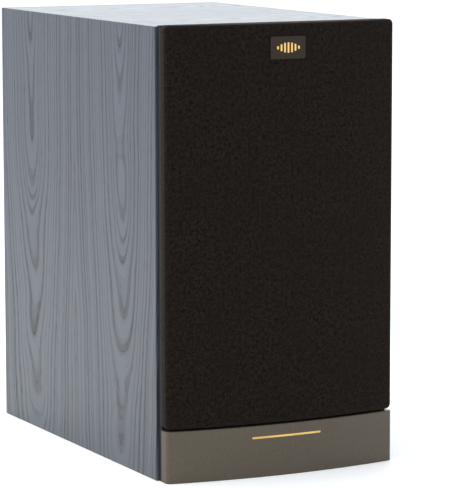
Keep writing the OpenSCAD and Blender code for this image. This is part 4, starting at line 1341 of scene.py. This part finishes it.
@dataclass
class Grille:
    """The grille that pulls off: its cloth, frame, pegs and badge.

    Attributes:
        frame: the loaded frame.
        corner: radius of its corners as seen from the front.
        side_edge: radius of the upright edges.
        end_edge: radius of the top and bottom edges.
        cloth: thickness of the cloth.
        hem: cloth turned round each edge and glued, in the flat cut; not used.
        columns: columns of the mesh along a short edge and a long one.
    """

    frame: dict[str, Any]
    corner: float = 3.5
    side_edge: float = 3.0
    end_edge: float = 2.2
    cloth: float = 0.7
    hem: float = 4.0
    columns: tuple[int, int] = (46, 70)

    def directions(self) -> tuple[np.ndarray, np.ndarray]:
        """Where each column stands on a unit frame, and its outward direction.

        Columns go round anticlockwise: each corner has an arc of directions at one place, and
        each straight edge has one direction and places from one corner to the next.
        """
        places, normals = [], []
        corners = [(1, 1), (-1, 1), (-1, -1), (1, -1)]
        counts = self.columns * 2
        for k, (sx, sz) in enumerate(corners):
            turn = np.linspace(0, np.pi / 2, 8) + k * np.pi / 2
            places.append(np.tile([float(sx), float(sz)], (8, 1)))
            normals.append(np.stack([np.cos(turn), np.sin(turn)], axis=-1))
            share = np.linspace(0, 1, counts[k] + 2)[1:-1, None]
            end = np.array(corners[(k + 1) % 4], float)
            places.append(np.array([sx, sz], float) * (1 - share) + end * share)
            normals.append(np.tile(normals[-1][-1], (counts[k], 1)))
        return np.concatenate(places), np.concatenate(normals)

    def sheet(self, bow: Bow) -> list[Patch]:
        """The cloth: back edge, side wall, a quarter-round edge, then the bowed face.

        A point at inset d stands at place (core) + normal (corner - d), with the core the
        rectangle left inside the corner radius. On the edge at angle p the inset is
        r (1 - cos p) and the point lies r (1 - sin p) behind the bow, where r goes from
        end_edge at the top to side_edge at the sides. The map unrolls walls and edges outwards.
        """
        low, high = box_mm("grille_cloth")
        half = np.array([high[0], (high[2] - low[2]) / 2])
        mid_z, back = (high[2] + low[2]) / 2, high[1]
        place, normal = self.directions()
        r = self.end_edge + (self.side_edge - self.end_edge) * normal[:, 0] ** 2
        p = np.linspace(0, np.pi / 2, 7)[:, None]
        rim = np.array([self.corner, self.corner + 0.6])[:, None]
        walls = np.linspace(1, 0, 4)[:-1, None]
        inset = np.concatenate([np.zeros((3, len(r))), r * (1 - np.cos(p)), np.tile(rim, len(r))])
        lift = np.concatenate([np.tile(r, (3, 1)), r * (1 - np.sin(p)), np.zeros((2, len(r)))])
        core = half - np.maximum(inset, self.corner)[..., None]
        flat = place * core + normal * np.maximum(self.corner - inset, 0)[..., None]
        y = bow.y(flat[..., 0]) + lift
        y[:3] = y[3] + (back - y[3]) * walls
        points = np.stack([flat[..., 0], y, flat[..., 1] + mid_z], axis=-1)
        down = np.concatenate([(back - y[3]) * walls, np.zeros((9, len(r)))])
        turned_in = np.concatenate([np.full((3, 1), np.pi / 2), np.pi / 2 - p, np.zeros((2, 1))])
        edge_core = half - np.maximum(r, self.corner)[:, None]
        edge = place * edge_core + normal * np.maximum(self.corner - r, 0)[:, None]
        base = np.where((inset > r - 1e-9)[..., None], flat, edge[None])
        uv = (base + normal * (down + r * turned_in)[..., None]) * MM
        return [Patch(points, uv=uv), self.face(bow, half - self.corner - 0.6, mid_z)]

    def face(self, bow: Bow, half: np.ndarray, mid_z: float) -> Patch:
        """The bowed face inside the rim, on a grid whose edge meets the rim's columns."""
        x = half[0] * np.linspace(-1, 1, self.columns[0] + 2)
        z = half[1] * np.linspace(-1, 1, self.columns[1] + 2)
        grid_x, grid_z = np.meshgrid(x, z)
        points = np.stack([grid_x, bow.y(grid_x), grid_z + mid_z], axis=-1)
        return Patch(points, around=False, uv=np.stack([grid_x, grid_z], axis=-1) * MM)

    def badge(self) -> Patch:
        """The badge's plate, in the place that the CAD gives."""
        low, high = box_mm("badge_plate")
        centre, half = (low + high) / 2, (high - low) / 2
        return rounded_block(tuple(centre), tuple(half), 1.1, 0.35)

    def emblem(self) -> list[Patch]:
        """Seven upright bars whose heights follow a cosine."""
        plate_low, plate_high = box_mm("badge_plate")
        low, high = box_mm("badge_emblem")
        width, _, height = plate_high - plate_low
        middle, pitch = (low + high) / 2, width / 10
        half_wide, half_deep = pitch * 0.26, (high[1] - low[1]) / 2
        return [
            rounded_block(
                (i * pitch, middle[1], middle[2]),
                (half_wide, half_deep, 0.23 * height * math.cos(math.radians(24 * i))),
                0.3,
                0.12,
                4,
            )
            for i in range(-3, 4)
        ]

    def make(self) -> None:
        """Builds and dresses the grille."""
        bow = front_bow()
        patches = self.sheet(bow)
        cloth = build("grille_knit_cloth", patches, 80.0)
        shell = cloth.modifiers.new("thickness", "SOLIDIFY")
        shell.thickness = self.cloth * MM
        shell.offset = -1
        settle(cloth, "grille", ["grille_cloth"], [GRILLE_KNIT])
        plate = weighted(build("badge_gloss_plate", [self.badge()], 60.0))
        settle(plate, "grille", ["badge_plate"], [BADGE_GLOSS])
        bars = weighted(build("badge_bars", self.emblem(), 60.0))
        settle(bars, "grille", ["badge_emblem"], [BADGE_GOLD])
        dress(self.frame, BLACK_MOULDED, "grille_frame", "grille_pegs")


# ---------------------------------------------------------------- drivers


def along_route(route: np.ndarray, steps: int = 8) -> np.ndarray:
    """Points on a Catmull-Rom curve through a route.

    Between points b and c, with neighbours a and d, the place at share t is
    (2b + (c - a) t + (2a - 5b + 4c - d) t^2 + (3b - a - 3c + d) t^3) / 2.
    """
    padded = np.concatenate([route[:1], route, route[-1:]])
    a, b, c, d = (padded[k : len(padded) - 3 + k, None] for k in range(4))
    t = np.linspace(0, 1, steps, endpoint=False)[None, :, None]
    curve = 0.5 * (
        2 * b + (c - a) * t + (2 * a - 5 * b + 4 * c - d) * t**2 + (3 * b - a - 3 * c + d) * t**3
    )
    return np.concatenate([curve.reshape(-1, 3), route[-1:]])


def tube(line: np.ndarray, radius: float, sides: int = 10) -> Patch:
    """A round section carried along a line that stays near a plane of constant x.

    The section's first direction is X made square to the line, and the second is their cross.
    """
    heading = np.gradient(line, axis=0)
    heading /= np.linalg.norm(heading, axis=1, keepdims=True)
    across = np.array([1.0, 0, 0]) - heading[:, :1] * heading
    across /= np.linalg.norm(across, axis=1, keepdims=True)
    other = np.cross(heading, across)
    angle = np.arange(sides) * 2 * np.pi / sides
    turn = angle[None, :, None]
    ring = np.cos(turn) * across[:, None] + np.sin(turn) * other[:, None]
    return Patch(line[:, None] + radius * ring, cap_first=True, cap_last=True)


def stretch_between(
    piece: bpy.types.Object, centre: tuple[float, float]
) -> None:
    """Lets a piece follow the cabinet at an outer radius and the cone at an inner one.

    Lays the piece's points out by their distance from the driver's axis and bakes its transform.

    The piece gets its own points back afterwards.

    Args:
        piece: the piece, at the origin.
        centre: x and z of the driver's axis, in millimetres.
    """
    count = len(piece.data.vertices)
    own = np.empty(count * 3, np.float32)
    piece.data.vertices.foreach_get("co", own)
    points = own.reshape(-1, 3)
    laid = np.zeros_like(points)
    laid[:, 0] = np.hypot(points[:, 0] - centre[0] * MM, points[:, 2] - centre[1] * MM)
    piece.data.vertices.foreach_set("co", laid.ravel())
    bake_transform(piece)
    piece.data.vertices.foreach_set("co", own)
    piece.data.update()


@dataclass
class Woofer:
    """The woofer: moving cone, cap and coil, the soft parts that join it, and its motor.

    Depths are behind the baffle's face.

    Attributes:
        frame: the loaded frame.
        cone_r: radius of the cone.
        coil_r: radius of the coil's former.
        roll_r: radius of the surround's roll.
        roll_s: depth of the surround's lips.
        mouth_s: depth of the cone's edge.
        drop: how far the cone falls from edge to neck.
        cap_r: radius of the dust cap.
        cap_rise: how far the cap stands out of the cone.
        spider_s: depth of the spider.
        waves: rings pressed into the spider.
    """

    frame: dict[str, Any]
    cone_r: float = 46.0
    coil_r: float = 12.5
    roll_r: float = 4.0
    roll_s: float = 1.9
    mouth_s: float = 2.4
    drop: float = 22.0
    cap_r: float = 19.0
    cap_rise: float = 6.0
    spider_s: float = 30.0
    waves: int = 8

    def __post_init__(self) -> None:
        """Reads the driver's place from the frame."""
        low, high = box_mm("woofer_cone")
        self.centre = (0.0, float(low[2] + high[2]) / 2)
        self.face = float(box_mm("front_baffle")[0][1])

    def depth(self, r: np.ndarray) -> np.ndarray:
        """Depth of the cone's front at a radius: mouth + drop ((R - r) / (R - coil))^0.86."""
        share = np.clip((self.cone_r - r) / (self.cone_r - self.coil_r), 0, 1)
        return self.mouth_s + self.drop * share**0.86

    def cone(self) -> Patch:
        """The cone's thin wall, turned about the axis."""
        r = np.linspace(self.coil_r + 0.6, self.cone_r - 0.3, 28)
        line = np.stack([r, self.face + self.depth(r)], axis=-1)
        return turned(both_sides(line, 0.8), self.centre)

    def cap(self) -> Patch:
        """The dust cap: a ball's cap of the given rim and rise, closed at its pole.

        The ball's radius is (rim^2 + rise^2) / (2 rise).
        """
        ball = (self.cap_r**2 + self.cap_rise**2) / (2 * self.cap_rise)
        r = self.cap_r * np.sin(np.linspace(0, np.pi / 2, 20))
        s = float(self.depth(np.array(self.cap_r))) - 0.05 - self.cap_rise + ball
        line = np.stack([r, self.face + s - np.sqrt(ball**2 - r**2)], axis=-1)
        return turned(both_sides(line, 0.6), self.centre, closed=False)

    def bead(self) -> Patch:
        """The bead of glue round the cap: a small ring of round section."""
        a = np.arange(12) * 2 * np.pi / 12
        r = self.cap_r + 0.1
        s = float(self.depth(np.array(r))) - 0.1
        line = np.stack([r + 0.55 * np.cos(a), self.face + s + 0.45 * np.sin(a)], axis=-1)
        return turned(line, self.centre)

    def surround(self) -> Patch:
        """The half roll: a thin half circle from the cone's edge to the basket's flange."""
        a = np.linspace(0, np.pi, 25)
        mid = self.cone_r + self.roll_r
        outer = np.stack(
            [mid - self.roll_r * np.cos(a), self.face + self.roll_s - self.roll_r * np.sin(a)], -1
        )
        thin = self.roll_r - 0.7
        inner = np.stack([mid - thin * np.cos(a), self.face + self.roll_s - thin * np.sin(a)], -1)
        return turned(np.concatenate([outer, inner[::-1]]), self.centre, 144)

    def spider(self) -> Patch:
        """The spider: rings pressed as a cosine of radius."""
        r0, r1 = self.coil_r + 0.8, 39.6
        share = np.linspace(0, 1, 97)
        s = self.spider_s - 0.6 + 0.35 * (1 - np.cos(2 * np.pi * self.waves * share))
        line = np.stack([r0 + (r1 - r0) * share, self.face + s], axis=-1)
        return turned(both_sides(line, 0.6), self.centre, 120)

    def ring(self) -> Patch:
        """The gasket ring, with its section's corners rounded."""
        low, high = box_mm("woofer_gasket_ring")
        outer = high[0]
        section = rounded_outline(1.8, (high[1] - low[1]) / 2, 0.5, 4)
        line = section + [outer - 1.8, (low[1] + high[1]) / 2]
        return turned(line, self.centre, 144)

    def leads(self) -> list[Patch]:
        """Two braided leads from the tags, in through the basket, to the coil."""
        y, z = self.face, self.centre[1]
        right = np.array(
            [
                [7.0, y + 32.6, z - 47.5],
                [7.0, y + 27.6, z - 48.0],
                [7.0, y + 20.0, z - 46.0],
                [6.5, y + 19.0, z - 38.0],
                [6.0, y + 24.0, z - 26.0],
                [5.0, y + 27.2, z - 15.0],
            ]
        )
        return [tube(along_route(right * [side, 1, 1]), 0.6) for side in (-1, 1)]

    def make(self) -> None:
        """Builds and dresses the woofer."""
        moving = "woofer_mover"
        cone = build("cone_woven", [self.cone()])
        settle(cone, moving, ["woofer_cone"], [CONE_WEAVE])
        cap = build("dust_cap_woven", [self.cap()], 60.0)
        settle(cap, moving, ["woofer_dust_cap"], [CAP_WEAVE])
        settle(build("dust_cap_bead", [self.bead()]), moving, [], [SOFT_RUBBER])
        for name, patches, node, slot, finish, outer, inner in (
            (
                "surround_roll", [self.surround()], "woofer_surround",
                "soft_rubber", SOFT_RUBBER, 53.6, 46.4,
            ),
            (
                "spider_pressed", [self.spider()], "woofer_spider",
                "spider_cloth", SPIDER_WEAVE, 38.6, 14.0,
            ),
            ("lead_braids", self.leads(), "woofer_leads", "copper_wire", LEAD_BRAID, 44.0, 17.0),
        ):
            piece = build(name, patches)
            piece.data.materials.append(finish.material())
            stretch_between(piece, self.centre)
            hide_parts(node)
            LOG.info("%s joins the cabinet to the cone", name)
        gasket = build("gasket_ring", [self.ring()])
        settle(gasket, "cabinet", ["woofer_gasket_ring"], [SOFT_RUBBER])
        dress(self.frame, BASKET_COAT, "woofer_frame")
        dress(self.frame, AMBER_FILM, "woofer_former")
        dress(self.frame, VOICE_COIL, "woofer_winding")
        dress(self.frame, ZINC, "woofer_top_plate", "woofer_yoke")
        dress(self.frame, FERRITE, "woofer_magnet")
        dress(self.frame, TAG_BOARD, "woofer_terminal")
        dress(self.frame, OXIDE_SCREW, "woofer_screws")


@dataclass
class Tweeter:
    """The tweeter: soft dome in a flared faceplate, and its motor.

    Attributes:
        frame: the loaded frame.
        dome_r: radius of the dome.
        rise: height of the dome.
        rim_s: depth of the dome's rim behind the baffle's face.
        roll_w: width of the dome's roll.
        roll_h: height of the roll.
    """

    frame: dict[str, Any]
    dome_r: float = 12.5
    rise: float = 4.6
    rim_s: float = 12.0
    roll_w: float = 3.0
    roll_h: float = 0.85

    def dome(self) -> Patch:
        """A ball's cap, then a half-sine roll to the lip, closed at its pole."""
        low, high = box_mm("tweeter_faceplate")
        face, z = float(box_mm("front_baffle")[0][1]), float(low[2] + high[2]) / 2
        ball = (self.dome_r**2 + self.rise**2) / (2 * self.rise)
        r = self.dome_r * np.sin(np.linspace(0, np.pi / 2, 18))
        cap = np.stack([r, self.rim_s - self.rise + ball - np.sqrt(ball**2 - r**2)], axis=-1)
        share = np.linspace(0, 1, 14)[1:]
        out, down = self.dome_r + self.roll_w * share, self.roll_h * np.sin(np.pi * share)
        roll = np.stack([out, self.rim_s - down], -1)
        line = np.concatenate([cap, roll]) + [0, face]
        return turned(both_sides(line, 0.4), (0.0, z), closed=False)

    def make(self) -> None:
        """Builds and dresses the tweeter."""
        dome = build("dome_silk", [self.dome()], 60.0)
        settle(dome, "tweeter_mover", ["tweeter_dome"], [DOME_WEAVE])
        dress(self.frame, FACE_MOULDED, "tweeter_faceplate")
        dress(self.frame, VOICE_COIL, "tweeter_voice_coil")
        dress(self.frame, ZINC, "tweeter_top_plate", "tweeter_yoke")
        dress(self.frame, FERRITE, "tweeter_magnet")
        dress(self.frame, OXIDE_SCREW, "tweeter_screws")


# ---------------------------------------------------------------- rear and inside


@dataclass
class RearFittings:
    """The port, the terminal cup and its four binding posts.

    Attributes:
        frame: the loaded frame.
        liner: radii of the bright ring in each cap's end.
        mark: half length and half width of a polarity mark's bar.
        mark_x: how far the marks stand from the middle.
    """

    frame: dict[str, Any]
    liner: tuple[float, float] = (3.02, 4.3)
    mark: tuple[float, float] = (1.8, 0.4)
    mark_x: float = 21.5

    def cap_liner(self, number: int) -> bpy.types.Object:
        """A thin bright ring let into the end of a cap, with a rounded section."""
        low, high = box_mm(f"post_cap_{number}")
        centre = ((low[0] + high[0]) / 2, (low[2] + high[2]) / 2)
        r_in, r_out = self.liner
        half = (r_out - r_in) / 2
        line = rounded_outline(half, 0.45, 0.15, 3) + [r_in + half, high[1] - 0.25]
        return build(f"cap_liner_{number}", [turned(line, centre, 48)], 50.0)

    def marks(self) -> bpy.types.Object:
        """A plus beside the red posts and a minus beside the black ones, moulded on the floor."""
        low, high = box_mm("terminal_cup")
        z = float(low[2] + high[2]) / 2
        y = float(box_mm("binding_posts")[0][1]) + 15.15
        long, short = self.mark
        bars = [
            ((self.mark_x, y, z), (long, 0.15, short)),
            ((self.mark_x, y + 0.02, z), (short, 0.15, long)),
            ((-self.mark_x, y, z), (long, 0.15, short)),
        ]
        patches = [rounded_block(place, half, 0.15, 0.08, 3) for place, half in bars]
        return build("polarity_marks", patches, 60.0)

    def make(self) -> None:
        """Builds and dresses the fittings."""
        for node, width in (("port_tube", 0.35), ("terminal_cup", 0.4)):
            piece = softened(self.frame, node, width)
            settle(piece, "cabinet", [node], [BLACK_MOULDED])
        straps = softened(self.frame, "jumper_straps", 0.15)
        settle(straps, "cabinet", ["jumper_straps"], [GOLD_PLATE])
        settle(self.marks(), "cabinet", [], [MARK_WHITE])
        for i in range(1, 5):
            black = i % 2 == 1
            cap = softened(self.frame, f"post_cap_{i}", 0.2)
            finish, slot = (CAP_BLACK, "cap_black") if black else (CAP_RED, "cap_red")
            settle(cap, f"cap_{i}", [f"post_cap_{i}"], [finish])
            settle(self.cap_liner(i), f"cap_{i}", [], [GOLD_PLATE])
            dress(self.frame, GOLD_PLATE, f"post_washer_{i}")
        dress(self.frame, GOLD_PLATE, "binding_posts")
        dress(self.frame, SOFT_RUBBER, "terminal_gasket")
        dress(self.frame, OXIDE_SCREW, "terminal_screws")
        dress(self.frame, ZINC, "post_nuts")


@dataclass
class Crossover:
    """The board behind the woofer, its parts and the wires.

    Attributes:
        frame: the loaded frame.
    """

    frame: dict[str, Any]

    def make(self) -> None:
        """Dresses the board, its parts and the wires."""
        dress(self.frame, BOARD_GREEN, "crossover_board")
        dress(self.frame, ZINC, "board_standoffs")
        dress(self.frame, CHOKE_WIRE, "inductors")
        dress(self.frame, DIPPED, "capacitors")
        dress(self.frame, WIRE_PVC, "internal_wires")


# ---------------------------------------------------------------- studio


@dataclass
class Lamp:
    """A square soft light.

    Attributes:
        name: its name.
        place: where it hangs, in metres.
        aim: what it points at, in metres.
        size: length of its side, in metres.
        watts: its power.
        colour: its colour, linear.
    """

    name: str
    place: Place
    aim: Place
    size: float
    watts: float
    colour: Colour = (1.0, 1.0, 1.0)

    def hang(self) -> None:
        """Adds the light to the scene."""
        data = bpy.data.lights.new(self.name, "AREA")
        data.size = self.size
        data.energy = self.watts
        data.color = self.colour
        lamp = bpy.data.objects.new(self.name, data)
        lamp.location = self.place
        heading = Vector(self.aim) - Vector(self.place)
        lamp.rotation_euler = heading.to_track_quat("-Z", "Y").to_euler()
        bpy.context.scene.collection.objects.link(lamp)


@dataclass
class Studio:
    """A plain pale floor in an even white surround, soft lights and the camera.

    Attributes:
        eye: the camera's place, in metres.
        aim: what the camera looks at, in metres.
        roll_deg: how far the camera leans.
        lens: focal length for a 36 mm sensor, in millimetres.
        surround: colour of the surround, linear.
        glow: strength of the surround.
        floor_glow: light that the floor gives by itself.
        floor_reach: half of the floor's side, in millimetres.
        backdrop: the direction of the backdrop's middle.
        backdrop_glow: strength of the surround there.
        spread: cosines at which the backdrop's light starts and is full.
    """

    eye: Place = (-0.8509, -1.74725, 0.3992)
    aim: Place = (0.03027, 0.0085, 0.13165)
    roll_deg: float = -0.056
    lens: float = 211.02
    surround: Colour = (0.91, 0.96, 1.0)
    glow: float = 1.0
    floor_glow: float = 0.2
    floor_reach: float = 6000.0
    backdrop: Place = (0.42, 0.9, 0.12)
    backdrop_glow: float = 2.3
    spread: tuple[float, float] = (0.75, 0.96)

    def floor(self) -> None:
        """A wide floor with a faint mottle, bright enough to stay pale round the object."""
        reach = self.floor_reach
        corners = np.array(
            [[-reach, -reach, 0], [reach, -reach, 0], [reach, reach, 0], [-reach, reach, 0]]
        )
        mesh = bpy.data.meshes.new("studio_floor")
        mesh.from_pydata((corners * MM).tolist(), [], [[0, 1, 2, 3]])
        floor = link("studio_floor", mesh)
        material = bpy.data.materials.new("studio_floor_white")
        material.use_nodes = True
        graph = Graph(material.node_tree)
        coat = material.node_tree.nodes["Principled BSDF"]
        mottle = graph.noise(graph.object_place(), 3.0, 3.0)
        tone = graph.mix(graph.remap(mottle, 0.3, 0.7), (0.9, 0.9, 0.9), (0.93, 0.93, 0.93))
        graph.feed(coat.inputs["Base Color"], tone)
        coat.inputs["Roughness"].default_value = 0.7
        coat.inputs["Specular IOR Level"].default_value = 0.1
        coat.inputs["Emission Color"].default_value = (1.0, 1.0, 1.0, 1.0)
        coat.inputs["Emission Strength"].default_value = self.floor_glow
        floor.data.materials.append(material)

    def air(self) -> None:
        """The even white surround, brighter low down behind the object like a lit backdrop.

        A direction's share of the backdrop's light is its cosine with the backdrop's middle,
        remapped to go smoothly from none to all.
        """
        world = bpy.data.worlds.new("studio_surround")
        world.use_nodes = True
        graph = Graph(world.node_tree)
        sky = world.node_tree.nodes["Background"]
        towards = graph.add("TexCoord", {}).outputs["Generated"]
        middle = Vector(self.backdrop).normalized()
        facing = graph.add("VectorMath", {0: towards, 1: tuple(middle)}, operation="DOT_PRODUCT")
        share = graph.remap(facing.outputs["Value"], *self.spread)
        strength = graph.math("MULTIPLY_ADD", share, self.backdrop_glow - self.glow, self.glow)
        sky.inputs["Color"].default_value = (*self.surround, 1.0)
        graph.feed(sky.inputs["Strength"], strength)
        bpy.context.scene.world = world
        bpy.context.scene.view_settings.view_transform = "Standard"

    def camera(self) -> None:
        """The camera, with no shift and everything sharp."""
        data = bpy.data.cameras.new("camera")
        data.sensor_fit = "AUTO"
        data.sensor_width = 36.0
        data.lens = self.lens
        data.clip_start, data.clip_end = 0.05, 60.0
        camera = bpy.data.objects.new("camera", data)
        heading = Vector(self.aim) - Vector(self.eye)
        turn = heading.to_track_quat("-Z", "Y").to_matrix().to_4x4()
        turn.translation = Vector(self.eye)
        camera.matrix_world = turn @ Matrix.Rotation(math.radians(self.roll_deg), 4, "Z")
        bpy.context.scene.collection.objects.link(camera)
        bpy.context.scene.camera = camera

    def lamps(self) -> list[Lamp]:
        """The soft lights: one overhead and one from the left."""
        middle = (0.0, 0.0, 0.15)
        return [
            Lamp("overhead", (-0.3, 0.2, 1.6), middle, 1.2, 14.0),
            Lamp("left_fill", (-1.8, 0.1, 0.7), middle, 1.2, 8.0, (0.93, 0.97, 1.0)),
        ]

    def make(self) -> None:
        """Sets the whole studio up."""
        self.camera()
        self.floor()
        self.air()
        for lamp in self.lamps():
            lamp.hang()


def main() -> None:
    """Loads the frame, builds each sub-assembly over it and sets up the studio."""
    logging.basicConfig(level=logging.INFO, format="%(name)s: %(message)s")
    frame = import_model()
    Studio().make()
    for part in (
        Cabinet(frame),
        Trim(frame),
        Grille(frame),
        Woofer(frame),
        Tweeter(frame),
        RearFittings(frame),
        Crossover(frame),
    ):
        part.make()
        LOG.info("%s is done", type(part).__name__)


if __name__ == "__main__":
    main()
